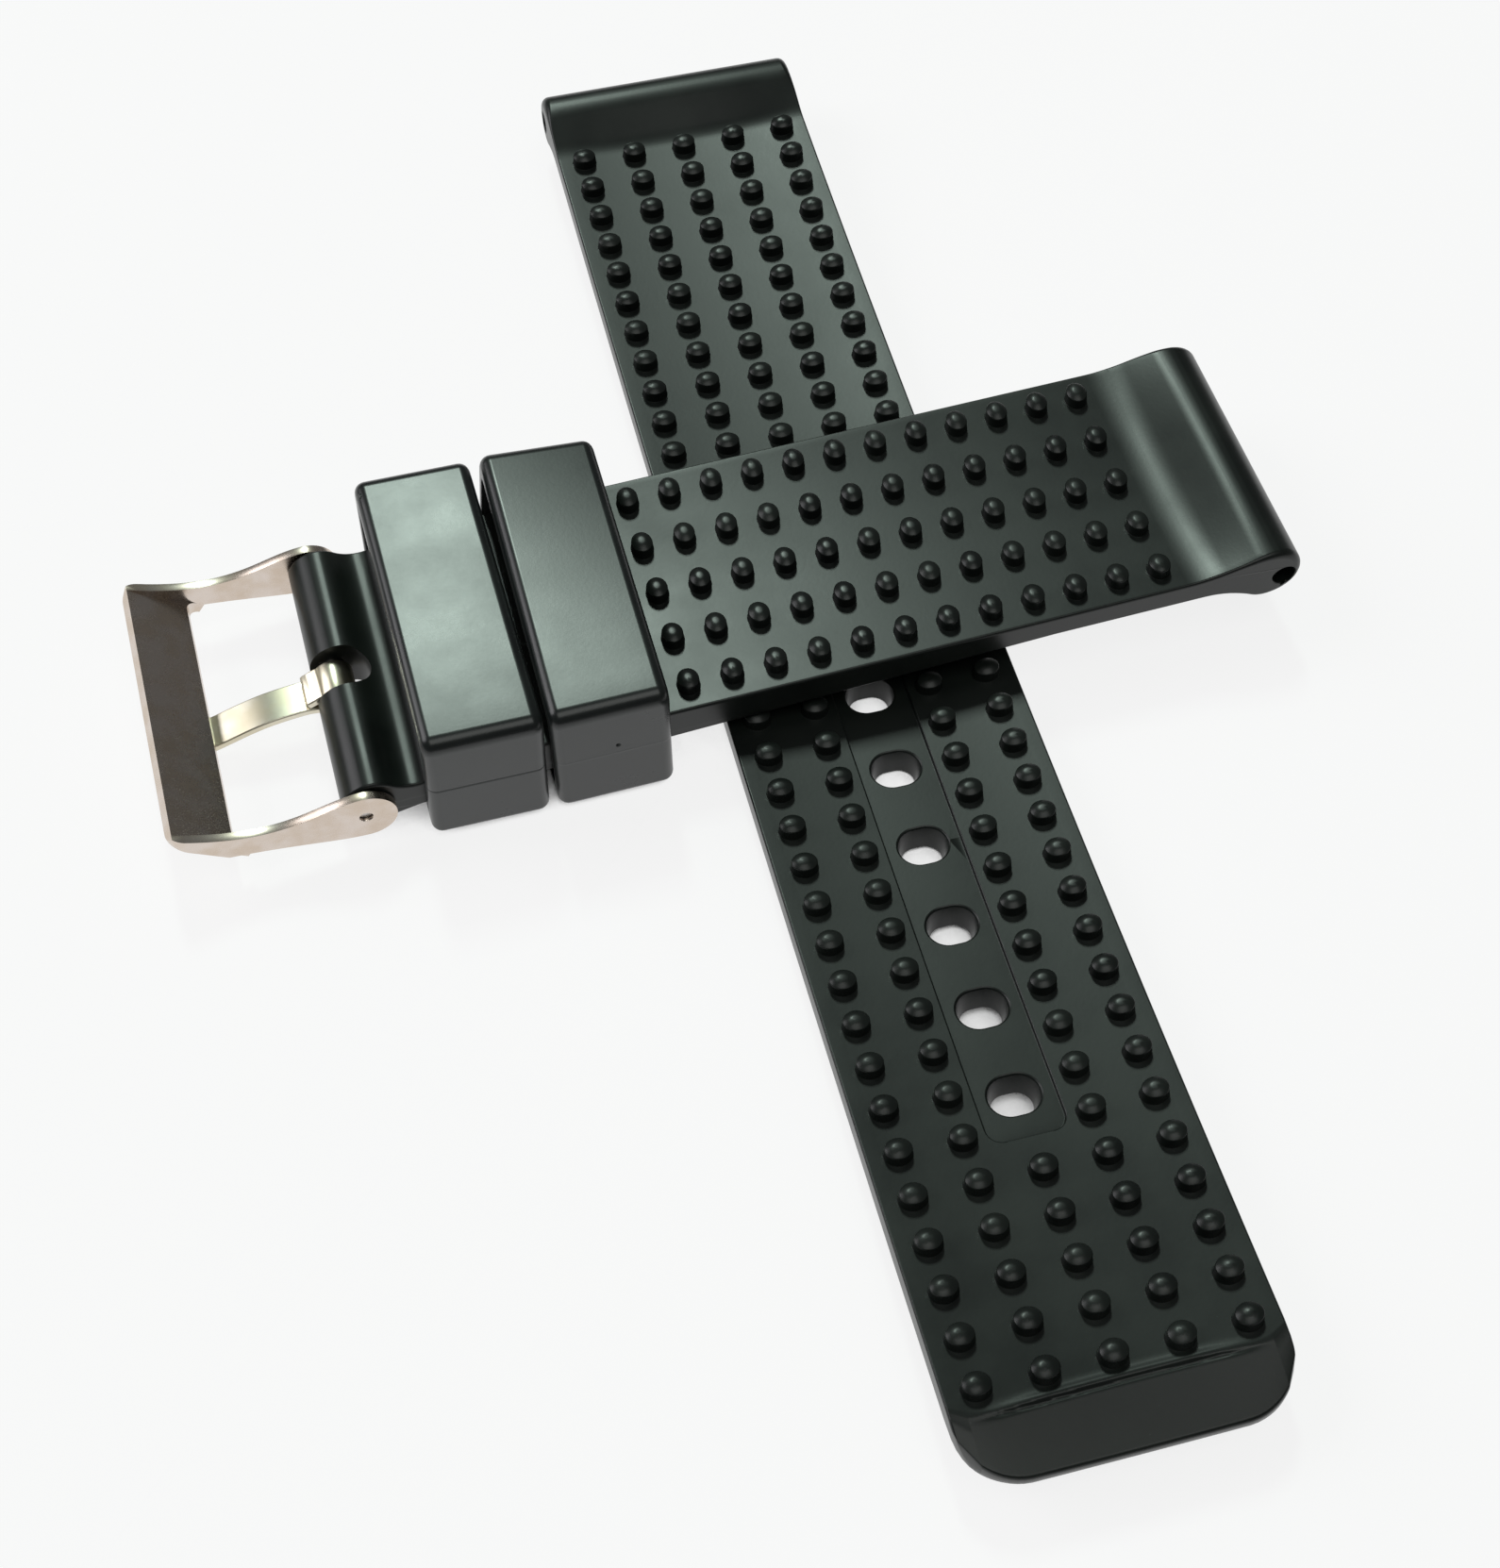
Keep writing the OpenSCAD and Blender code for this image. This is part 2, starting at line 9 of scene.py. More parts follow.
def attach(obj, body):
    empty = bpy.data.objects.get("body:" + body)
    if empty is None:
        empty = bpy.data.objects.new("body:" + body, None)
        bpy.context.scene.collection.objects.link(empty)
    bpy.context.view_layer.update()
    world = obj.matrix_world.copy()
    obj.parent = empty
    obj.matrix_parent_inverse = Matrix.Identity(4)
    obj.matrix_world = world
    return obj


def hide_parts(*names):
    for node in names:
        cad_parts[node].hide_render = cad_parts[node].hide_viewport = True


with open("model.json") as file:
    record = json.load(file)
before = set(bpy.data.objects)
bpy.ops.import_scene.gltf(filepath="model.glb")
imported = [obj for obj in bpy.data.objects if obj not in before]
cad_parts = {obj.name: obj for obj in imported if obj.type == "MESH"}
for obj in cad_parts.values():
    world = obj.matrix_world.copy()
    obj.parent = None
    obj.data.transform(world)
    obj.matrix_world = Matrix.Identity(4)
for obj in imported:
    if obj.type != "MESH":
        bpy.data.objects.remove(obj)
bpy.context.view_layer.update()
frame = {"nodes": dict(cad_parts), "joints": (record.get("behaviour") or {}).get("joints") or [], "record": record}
jointNamed = {joint["name"]: joint for joint in frame["joints"]}
mountNamed = {mount["name"]: mount for mount in frame["record"]["mounts"]}
millimetre = 0.001
print("frame loaded:", len(frame["nodes"]), "nodes")


# How finely shapes are drawn, in millimetres and degrees
meshing = {"outlineStep": 0.004, "mitre": 0.5, "weld": 0.0005, "weldAfterCut": 0.002,
           "sharpAngle": 38, "bevelSteps": 3, "levelCosine": 0.988, "normalWeight": 60,
           "leastRadius": 0.001, "near": 0.01, "boreSides": 40, "beyond": 1.0}


# Shapes in a plane

def turned(degrees, radius, middle=(0.0, 0.0)):  # the point at this angle on a circle
    angle = math.radians(degrees)
    return (middle[0] + radius * math.cos(angle), middle[1] + radius * math.sin(angle))


def arc(middle, radius, start, end, steps):  # from one angle to another, in degrees
    return [turned(start + (end - start) * i / steps, radius, middle) for i in range(steps + 1)]


def line(start, end, steps):  # leaves out its own last point
    return [tuple(a + (b - a) * i / steps for a, b in zip(start, end)) for i in range(steps)]


def curve(a, b, c, d, steps):  # a cubic curve from its four control points
    points = []
    for i in range(steps + 1):
        t = i / steps
        s = 1 - t
        weights = (s ** 3, 3 * s * s * t, 3 * s * t * t, t ** 3)
        points.append(tuple(sum(w * p[k] for w, p in zip(weights, (a, b, c, d))) for k in (0, 1)))
    return points


def rounded(before, corner, after, radius, steps=5):  # an arc in place of a corner
    corner = Vector(corner)
    toBefore = (Vector(before) - corner).normalized()
    toAfter = (Vector(after) - corner).normalized()
    half = toBefore.angle(toAfter) / 2
    middle = corner + (toBefore + toAfter).normalized() * radius / math.sin(half)
    first = corner + toBefore * radius / math.tan(half) - middle
    last = corner + toAfter * radius / math.tan(half) - middle
    start = math.degrees(math.atan2(first.y, first.x))
    sweep = math.degrees(math.atan2(first.x * last.y - first.y * last.x, first.dot(last)))
    return arc(middle, radius, start, start + sweep, steps)


def tidied(outline):  # drops points that fall together
    kept = []
    for point in outline:
        if not kept or math.dist(point, kept[-1]) > meshing["outlineStep"]:
            kept.append(point)
    while math.dist(kept[0], kept[-1]) <= meshing["outlineStep"]:
        kept.pop()
    return kept


def inset(outline, depths):  # moves an anticlockwise outline inwards by each point's own depth
    moved = []
    for i, point in enumerate(outline):
        before = (Vector(point) - Vector(outline[i - 1])).normalized()
        after = (Vector(outline[(i + 1) % len(outline)]) - Vector(point)).normalized()
        inward = Vector((-before.y - after.y, before.x + after.x)).normalized()
        reach = max(meshing["mitre"], inward.dot(Vector((-before.y, before.x))))
        moved.append(tuple(Vector(point) + inward * depths[i] / reach))
    return moved


def between(low, high, value):  # 0 at low and 1 at high, eased
    share = min(1, max(0, (value - low) / (high - low)))
    return share * share * (3 - 2 * share)


# Skins, cuts and finished pieces

class Skin:  # gathers points and faces
    def __init__(self):
        self.points = []
        self.faces = []

    def loops(self, rows, caps=True):  # closed loops joined side by side
        first = len(self.points)
        count = len(rows[0])
        for row in rows:
            self.points += row
        for r in range(len(rows) - 1):
            for i in range(count):
                a = first + r * count + i
                b = first + r * count + (i + 1) % count
                self.faces.append((a, b, b + count, a + count))
        if caps:
            self.faces.append(tuple(range(first + count - 1, first - 1, -1)))
            last = first + (len(rows) - 1) * count
            self.faces.append(tuple(range(last, last + count)))

    def ladder(self, first, count):  # rungs across a loop, for a cap that may bend
        last = first + count - 1
        for i in range(count // 2 - 1):
            self.faces.append((first + i, first + i + 1, last - 1 - i, last - i))

    def slab(self, rows):  # loops whose caps are ladders
        first = len(self.points)
        count = len(rows[0])
        self.loops(rows, caps=False)
        self.ladder(first, count)
        self.ladder(first + (len(rows) - 1) * count, count)

    def dome(self, rows, top):  # rings that close in a point
        first = len(self.points)
        count = len(rows[0])
        self.loops(rows, caps=False)
        self.points.append(top)
        last = first + (len(rows) - 1) * count
        for i in range(count):
            self.faces.append((last + i, last + (i + 1) % count, len(self.points) - 1))

    def build(self, name):
        mesh = bpy.data.meshes.new(name)
        mesh.from_pydata([tuple(point) for point in self.points], [], self.faces)
        work = bmesh.new()
        work.from_mesh(mesh)
        bmesh.ops.remove_doubles(work, verts=work.verts, dist=meshing["weld"])
        bmesh.ops.recalc_face_normals(work, faces=work.faces)
        work.to_mesh(mesh)
        work.free()
        return linked(name, mesh)


def linked(name, data):  # an object in the scene
    made = bpy.data.objects.new(name, data)
    bpy.context.scene.collection.objects.link(made)
    return made


def solid(name, rows):  # a piece from closed loops
    skin = Skin()
    skin.loops(rows)
    return skin.build(name)


def combine(piece, tools, operation):  # uses the tools up
    for tool in tools:
        modifier = piece.modifiers.new("combine", "BOOLEAN")
        modifier.operation = operation
        modifier.solver = "EXACT"
        modifier.object = tool
    bpy.context.view_layer.update()
    made = piece.evaluated_get(bpy.context.evaluated_depsgraph_get())
    mesh = bpy.data.meshes.new_from_object(made)
    piece.modifiers.clear()
    piece.data = mesh
    for tool in tools:
        bpy.data.objects.remove(tool)


def softenEdges(piece, wanted, width):  # rounds the sharp edges that wanted picks
    work = bmesh.new()
    work.from_mesh(piece.data)
    bmesh.ops.remove_doubles(work, verts=work.verts, dist=meshing["weldAfterCut"])
    bmesh.ops.dissolve_degenerate(work, edges=work.edges, dist=meshing["weldAfterCut"])
    sharp = [edge for edge in work.edges
             if len(edge.link_faces) == 2
             and edge.calc_face_angle() > math.radians(meshing["sharpAngle"])
             and wanted((edge.verts[0].co + edge.verts[1].co) / 2)]
    bmesh.ops.bevel(work, geom=sharp, offset=width, segments=meshing["bevelSteps"], profile=0.5,
                    affect="EDGES", clamp_overlap=True)
    work.to_mesh(piece.data)
    work.free()
    print("rounded", len(sharp), "edges of", piece.name)


def addTo(piece, skin):  # more skin in the same piece
    extra = skin.build("extra")
    work = bmesh.new()
    work.from_mesh(piece.data)
    work.from_mesh(extra.data)
    work.to_mesh(piece.data)
    work.free()
    bpy.data.objects.remove(extra)


def steadyNormals(mesh, level):  # faces square to level are shaded flat, right up to their borders
    whole = [Vector() for point in mesh.vertices]
    flat = [Vector() for point in mesh.vertices]
    for face in mesh.polygons:
        weight = face.normal * face.area
        isLevel = face.normal.dot(level) > meshing["levelCosine"]
        for index in face.vertices:
            whole[index] += weight
            if isLevel:
                flat[index] += weight
    normals = [(own if own.length > 0 else other).normalized() for own, other in zip(flat, whole)]
    mesh.normals_split_custom_set_from_vertices(normals)


# Faces larger than flatArea are shaded flat. With level, the piece gets normals of its own.
def finishPiece(piece, material, body, node, flatArea=math.inf, level=None):
    piece.data.materials.clear()
    piece.data.materials.append(material)
    for face in piece.data.polygons:
        face.use_smooth = face.area < flatArea
        face.material_index = 0
    if level:
        steadyNormals(piece.data, level)
    else:
        weigh = piece.modifiers.new("weightedNormals", "WEIGHTED_NORMAL")
        weigh.keep_sharp = False
        weigh.weight = meshing["normalWeight"]
    piece.data.transform(Matrix.Scale(millimetre, 4))
    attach(piece, body)
    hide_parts(node)
    print("made", piece.name, len(piece.data.polygons), "faces")


# An outline drawn across a strap, with its edges rounded by their own radii
def rowsAcross(outline, half, edges, steps, inner):
    quarter = []
    for i in range(steps + 1):
        angle = math.radians(90 * i / steps)
        inward = inset(outline, [edge * (1 - math.sin(angle)) for edge in edges])
        quarter.append([(s, half - edge + edge * math.cos(angle), h)
                        for (s, h), edge in zip(inward, edges)])
    flat = half - max(edges)
    rows = [[(s, -x, h) for s, x, h in row] for row in quarter]
    for i in range(1, inner):  # closer together near the sides
        rows.append([(s, flat * math.sin(math.pi * (i / inner - 0.5)), h) for s, h in outline])
    return rows + quarter[::-1]


def stadium(halfLength, halfWidth, corner, grow, steps, runs):  # (place along, half width) pairs
    length, width = halfLength + grow, halfWidth + grow
    radius = max(meshing["leastRadius"], corner + grow)
    end = arc((length - radius, width - radius), radius, 0, 90, steps)
    low = [(-along, half) for along, half in end]
    straight = length - radius
    if straight <= meshing["near"]:
        return low + end[::-1][1:]
    run = [(-straight + 2 * straight * i / runs, width) for i in range(1, runs)]
    return low + run + end[::-1]


def cutter(name, levels, shape, place):  # a tool for cuts: levels are (growth, height) pairs
    rows = []
    for grow, height in levels:
        pairs = shape(grow)
        rows.append([place(along, -half, height) for along, half in pairs]
                    + [place(along, half, height) for along, half in reversed(pairs)])
    skin = Skin()
    skin.slab(rows)
    return skin.build(name)


def boreCutter(name, middle, axis, up, radius, half, rim):  # a drill with a chamfered mouth
    side = axis.cross(up)
    mouth = radius + rim
    profile = [(half + meshing["beyond"], mouth), (half, mouth), (half - rim, radius), (0, radius)]
    profile += [(-x, r) for x, r in profile[-2::-1]]
    rows = []
    sides = meshing["boreSides"]
    for x, r in profile:
        ring = [turned(360 * i / sides, r) for i in range(sides)]
        rows.append([middle + axis * x + side * a + up * b for a, b in ring])
    return solid(name, rows)


# Studs, the same on both halves

stud = {"along": 0.78, "across": 0.92,  # half widths
        "height": 1.0, "dome": 0.24, "taper": 0.93, "foot": 0.06, "sunk": 0.012, "shoulder": 0.13,
        "step": 3.0, "crossStep": 4.0, "columns": 5,
        "sides": 24, "footAngles": (0, 30, 60, 90), "crownRings": (0.8, 0.55, 0.28)}


def studProfile():  # (share of the half width, growth, height) from the foot to the crown
    foot, size = stud["foot"], stud["along"]
    base = []
    for angle in map(math.radians, stud["footAngles"]):
        growth = foot - foot * math.sin(angle)
        base.append((1, growth, foot - foot * math.cos(angle) - stud["sunk"]))
    top = stud["height"] - stud["dome"]
    topRadius = size * stud["taper"]
    domeRadius = (topRadius ** 2 + stud["dome"] ** 2) / (2 * stud["dome"])
    fall = topRadius / math.sqrt(domeRadius ** 2 - topRadius ** 2)
    edge = rounded((size, 0), (topRadius, top), (topRadius - 1, top + fall), stud["shoulder"], 4)
    profile = base + [(r / size, 0, h) for r, h in edge]
    for share in stud["crownRings"]:
        r = edge[-1][0] * share
        height = stud["height"] - domeRadius + math.sqrt(domeRadius ** 2 - r * r)
        profile.append((r / size, 0, height))
    return profile


def addStud(skin, x, s, place):
    rows = []
    ring = [turned(360 * i / stud["sides"], 1) for i in range(stud["sides"])]
    for share, growth, height in studProfile():
        along, across = stud["along"] * share + growth, stud["across"] * share + growth
        rows.append([place(s + b * along, x + a * across, height) for a, b in ring])
    skin.dome(rows, place(s, x, stud["height"]))


def studColumns():  # their places across a strap
    middle = (stud["columns"] - 1) / 2
    return [(column - middle) * stud["crossStep"] for column in range(stud["columns"])]


# Both halves: a slight dish across, and rolled lug ends

dish = {"rise": 0.35, "level": 0.55, "from": 1.0, "to": 6.0}  # it fades out towards a lug
lug = {"edgeEase": 3.6, "boreRim": 0.12,
       "steps": {"below": 8, "roll": 34, "brow": 10, "slope": 6, "hollow": 16}}


def dished(across, height, thickness, toLug):  # the sides stand a little higher than the middle
    share = min(1, max(0, 1 + height / thickness)) * between(dish["from"], dish["to"], toLug)
    return height + dish["rise"] * share * (across * across - dish["level"])


def lugOutline(size):  # from below to above: a roll, its brow, a slope and a hollow sweep
    middle, radius = (size["length"] - size["lugBack"], -size["lugSink"]), size["lugRadius"]
    lowLevel = -size["thin"] - size["sweepBelow"]
    reach = math.sqrt((size["sweepBelow"] + radius) ** 2 - (lowLevel - middle[1]) ** 2)
    lowMiddle = (middle[0] - reach, lowLevel)
    lowAngle = math.degrees(math.atan2(lowLevel - middle[1], -reach))
    tilt, brow, sweep = size["lugTilt"], size["brow"], size["sweepAbove"]
    top = middle[1] + radius
    lean = math.radians(tilt)
    fall = top - (brow + sweep) * (1 - math.cos(lean))
    start = middle[0] - (brow + sweep) * math.sin(lean) - fall / math.tan(lean)
    steps = lug["steps"]
    below = arc(lowMiddle, size["sweepBelow"], 90, lowAngle + 180, steps["below"])
    roll = arc(middle, radius, lowAngle, 90, steps["roll"])
    above = arc((middle[0], top - brow), brow, 90, 90 + tilt, steps["brow"])
    hollow = arc((start, sweep), sweep, tilt - 90, -90, steps["hollow"])
    slope = line(above[-1], hollow[0], steps["slope"])
    return below + roll[1:-1] + above[:-1] + slope + hollow


def edgeNearLug(size, edge, place):
    toLug = between(size["length"] - lug["edgeEase"], size["length"], place)
    return edge + (size["lugEdge"] - edge) * toLug


# Hole half: s runs along the arc that it lies in and h rises from its inner face

holeHalf = {"width": 20.0, "tipToBore": 113.6, "thin": 2.4, "arcRadius": 658.0, "length": 57.3,
            "boreDepth": 1.35, "boreRadius": 0.8, "lugRadius": 2.12, "lugSink": 1.05,
            "lugBack": 0.67, "lugTilt": 16.0, "brow": 5.0, "sweepAbove": 6.0, "sweepBelow": 6.0,
            "topEdge": 0.16, "lowEdge": 1.0, "lugEdge": 0.6, "firstRow": 51.0, "rows": 35,
            "tipCorner": 3.8, "cornerFall": 0.8, "cornerFade": 8.0,
            "slopeLength": 3.8, "slopeFall": 0.9, "slopeEase": 0.3,
            "holes": 7, "holeStep": 6.25, "firstHoleFromTip": 22.6, "holeWidth": 3.3,
            "holeLength": 2.7, "holeRim": 0.16, "holeTaper": 0.3,
            "panelWidth": 5.0, "panelSink": 0.3, "panelEnd": 3.0, "panelCorner": 1.0,
            "panelRim": 0.1, "panelFillet": 0.07, "filletHollow": 0.3,
            "fold": {"reach": 3.2, "ridge": 0.09, "ridgeWidth": 0.3, "ridgeBack": 0.3,
                     "crease": 0.16, "creaseWidth": 0.13, "creaseBack": -0.02,
                     "bend": 1.3, "bendMiddle": 0.55, "grows": (0.04, 0.3), "fades": (0.7, 0.95)},
            "steps": {"under": 42, "face": 100, "nearSlope": 43, "slopeTop": 17, "slope": 6,
                      "edge": 5, "across": 44, "nearLength": 3.0, "topLength": 1.2},
            "panelRimAngles": (0, 30, 60, 84), "holeRimAngles": (0, 22, 45, 67, 84),
            "panelOut": 0.5, "holeOut": 0.4, "underOut": 0.5}  # how far cutters stand out


def holeFrame():
    innerRadius = holeHalf["arcRadius"] - holeHalf["thin"]
    bore = Vector(mountNamed["hole_half_lug_bore"]["pos_m"]) / millimetre
    turn = holeHalf["length"] / innerRadius
    reach = innerRadius + holeHalf["boreDepth"]
    middle = bore + Vector((0, -reach * math.sin(turn), reach * math.cos(turn)))

    def place(s, x, h):
        h = dished(x * 2 / holeHalf["width"], h, holeHalf["thin"], holeHalf["length"] - s)
        angle = s / innerRadius
        radius = innerRadius - h
        return middle + Vector((x, radius * math.sin(angle), -radius * math.cos(angle)))
    return place


def slopeLevel(s, slope):  # the height of the inner face along the tip, which slopes from here
    share = min(1, max(0, (slope - s) / holeHalf["slopeLength"]))
    return -holeHalf["slopeFall"] * share


def folded(s, x, h, slope):  # the raised ridge before the slope, and the crease behind it
    fold = holeHalf["fold"]
    if h < -holeHalf["slopeFall"] or abs(s - slope) > fold["reach"]:
        return h
    across = x / holeHalf["width"] + 0.5
    strength = between(*fold["grows"], across) * (1 - between(*fold["fades"], across))
    bend = fold["bend"] * (across - fold["bendMiddle"]) ** 2  # it isn't quite straight
    ridge = math.exp(-((s - slope - fold["ridgeBack"] + bend) / fold["ridgeWidth"]) ** 2)
    crease = math.exp(-((s - slope - fold["creaseBack"] + bend) / fold["creaseWidth"]) ** 2)
    return h + strength * (ridge * fold["ridge"] - crease * fold["crease"])


def holeOutline(tip, slope):  # with the radius of its edge at each point
    thick, fall, low = holeHalf["thin"], holeHalf["slopeFall"], holeHalf["lowEdge"]
    end = lugOutline(holeHalf)
    lowTip = rounded((slope, -thick), (tip, -thick), (tip, 0), low)
    topTip = rounded((tip, -thick), (tip, -fall), (slope, 0), holeHalf["slopeEase"])
    steps = holeHalf["steps"]
    nearSlope = (slope + steps["nearLength"], 0)
    slopeTop = (slope - steps["topLength"], slopeLevel(slope - steps["topLength"], slope))
    outline = line(lowTip[0], end[0], steps["under"]) + end
    outline += line(end[-1], nearSlope, steps["face"])[1:]
    outline += line(nearSlope, (slope, 0), steps["nearSlope"])
    outline += line((slope, 0), slopeTop, steps["slopeTop"])
    outline += line(slopeTop, topTip[-1], steps["slope"])
    outline = tidied(outline + topTip[::-1] + lowTip[::-1])
    edges = []
    for s, h in outline:
        edge = holeHalf["topEdge"] if h > -0.5 * thick else low
        if h > -thick + meshing["near"] and s < slope:  # the tip's slope and wall
            edge = holeHalf["topEdge"] + (low - holeHalf["topEdge"]) * between(-fall, -thick, h)
        edges.append(edgeNearLug(holeHalf, edge, s))
    return outline, edges


def rimLevels(rim, angles):  # (growth, height) pairs up a rounded rim
    return [(rim * (1 - math.cos(angle)), -rim + rim * math.sin(angle))
            for angle in map(math.radians, angles)]


def panelCutter(middle, half, place):
    floor, rim, fillet = -holeHalf["panelSink"], holeHalf["panelRim"], holeHalf["panelFillet"]
    hollow = holeHalf["filletHollow"] * fillet
    levels = [(-fillet, floor), (-hollow, floor + hollow), (0, floor + fillet)]
    levels += rimLevels(rim, holeHalf["panelRimAngles"]) + [(rim, holeHalf["panelOut"])]
    width, corner = holeHalf["panelWidth"] / 2, holeHalf["panelCorner"]
    return cutter("panelCutter", levels,
                  lambda grow: stadium(half, width, corner, grow, steps=6, runs=22),
                  lambda along, x, h: place(middle + along, x, h))


def holeCutter(middle, place):
    floor, taper = -holeHalf["panelSink"], holeHalf["holeTaper"]
    rim, under = holeHalf["holeRim"], -holeHalf["thin"]
    edge = rimLevels(rim, holeHalf["holeRimAngles"])
    levels = [(rim - taper, under - holeHalf["underOut"])]
    levels += [(grow - taper, under - h) for grow, h in edge[::-1]]
    levels += [(grow, floor + h) for grow, h in edge] + [(rim, holeHalf["holeOut"])]
    length, width = holeHalf["holeLength"] / 2, holeHalf["holeWidth"] / 2
    return cutter("holeCutter", levels,
                  lambda grow: stadium(length, width, length, grow, steps=10, runs=1),
                  lambda along, x, h: place(middle + along, x, h))


def makeHoleStrap(material):
    place = holeFrame()
    thick, half, corner = holeHalf["thin"], holeHalf["width"] / 2, holeHalf["tipCorner"]
    tip = holeHalf["length"] - holeHalf["tipToBore"]
    slope = tip + holeHalf["slopeLength"]
    outline, edges = holeOutline(tip, slope)
    steps = holeHalf["steps"]
    rows = []
    for points in rowsAcross(outline, half, edges, steps["edge"], steps["across"]):
        row = []
        for s, x, h in points:
            beyond = max(0, abs(x) - (half - corner))  # the tip's round corners
            pull = corner - math.sqrt(max(0, corner ** 2 - beyond ** 2))
            near = max(0, 1 - (s - tip) / holeHalf["cornerFade"])
            pulled = s + pull * near * near
            level = slopeLevel(s, slope)
            share = min(1, max(0, (h + thick) / (thick + level)))
            h += holeHalf["cornerFall"] * share * (slopeLevel(pulled, slope) - level)
            row.append(place(pulled, x, folded(pulled, x, h, slope)))
        rows.append(row)
    strap = solid("hole_half", rows)

    firstHole = tip + holeHalf["firstHoleFromTip"]
    holeSpan = (holeHalf["holes"] - 1) * holeHalf["holeStep"]
    panelMiddle = firstHole + holeSpan / 2
    panelHalf = holeSpan / 2 + holeHalf["panelEnd"]
    tools = [panelCutter(panelMiddle, panelHalf, place)]
    for i in range(holeHalf["holes"]):
        tools.append(holeCutter(firstHole + i * holeHalf["holeStep"], place))
    bore = place(holeHalf["length"], 0, -holeHalf["boreDepth"])
    tools.append(boreCutter("boreCutter", bore, Vector((1, 0, 0)), Vector((0, 0, 1)),
                            holeHalf["boreRadius"], half, lug["boreRim"]))
    combine(strap, tools, "DIFFERENCE")

    studs = Skin()
    clear = holeHalf["panelWidth"] / 2 + stud["across"]
    for row in range(holeHalf["rows"]):
        s = holeHalf["firstRow"] - row * stud["step"]
        besidePanel = abs(s - panelMiddle) > panelHalf + stud["along"]
        for x in studColumns():
            if besidePanel or abs(x) > clear:
                addStud(studs, x, s, place)
    addTo(strap, studs)
    finishPiece(strap, material, "hole_half", "hole_strap",
                level=Vector((0, 0, 1)))


# Buckle half: u runs from the bar to the lug, v across and w rises from the inner face

buckleHalf = {"width": 20.0, "length": 64.0, "thickness": 3.1, "thin": 1.7, "thinFrom": 47.4,
              "boreDepth": 1.35, "boreRadius": 0.8, "lugRadius": 2.2, "lugSink": 1.03,
              "lugBack": 0.95, "lugTilt": 16.0, "brow": 5.0, "sweepAbove": 10.5, "sweepBelow": 6.0,
              "topEdge": 0.22, "lowEdge": 0.14, "lugEdge": 0.5, "firstRow": 55.4, "rows": 12,
              "barRadius": 2.05, "barOut": 0.65, "barSink": 1.9, "barDown": 0.2,
              "barBoreRadius": 0.8, "barBoreRim": 0.1, "flatFrom": 1.0,
              "valleySink": 0.8, "valleyRadius": 2.5, "shoulder": 0.5, "shoulderTurn": 12,
              "valleyTrim": 10, "underBend": 3.0, "slotWidth": 3.2, "slotEnd": 2.6, "slotOut": 4.0,
              "slotLevels": ((-0.4, -5), (0, -1), (0, 2)),  # growth and height, as cutter takes
              "slotRim": 0.2, "slotRimBeside": 0.3, "slotRimAlong": 4.0,
              "steps": {"roll": 56, "under": 16, "thin": 5, "face": 30, "valley": 14, "edge": 5,
                        "across": 24}}
barMiddle = Vector(jointNamed["frame_swing"]["pos_m"]) / millimetre
barAcross = Vector(jointNamed["frame_swing"]["axis"]).normalized()
barAlong = Vector(jointNamed["first_keeper_slide"]["axis"]).normalized()
barUp = barAlong.cross(barAcross).normalized()


def atBar(u, v, w):  # from the bar's own axis
    return barMiddle + barAlong * u + barAcross * v + barUp * w


def onBuckleHalf(u, v, w):  # from the inner face
    return atBar(u, v, w + buckleHalf["barSink"])


def onBuckleFace(u, v, w):  # from the inner face, with its dish
    toEnd = min(buckleHalf["length"] - u, u - buckleHalf["flatFrom"])
    return onBuckleHalf(u, v, dished(v * 2 / buckleHalf["width"], w, buckleHalf["thin"], toEnd))


def underLevel(u):  # the height of the outer face
    start = valleyPlace()[0]
    share = max(0, buckleHalf["thinFrom"] - u) / (buckleHalf["thinFrom"] - start)
    return -buckleHalf["thin"] - (buckleHalf["thickness"] - buckleHalf["thin"]) * share


def rollMiddle():  # of the roll round the bar
    return (buckleHalf["barOut"], buckleHalf["barDown"] - buckleHalf["barSink"])


def valleyPlace():  # the middle of the hollow behind the roll
    roll = rollMiddle()
    level = buckleHalf["valleyRadius"] - buckleHalf["valleySink"]
    reach = buckleHalf["valleyRadius"] + buckleHalf["barRadius"]
    return (roll[0] + math.sqrt(reach ** 2 - (level - roll[1]) ** 2), level)


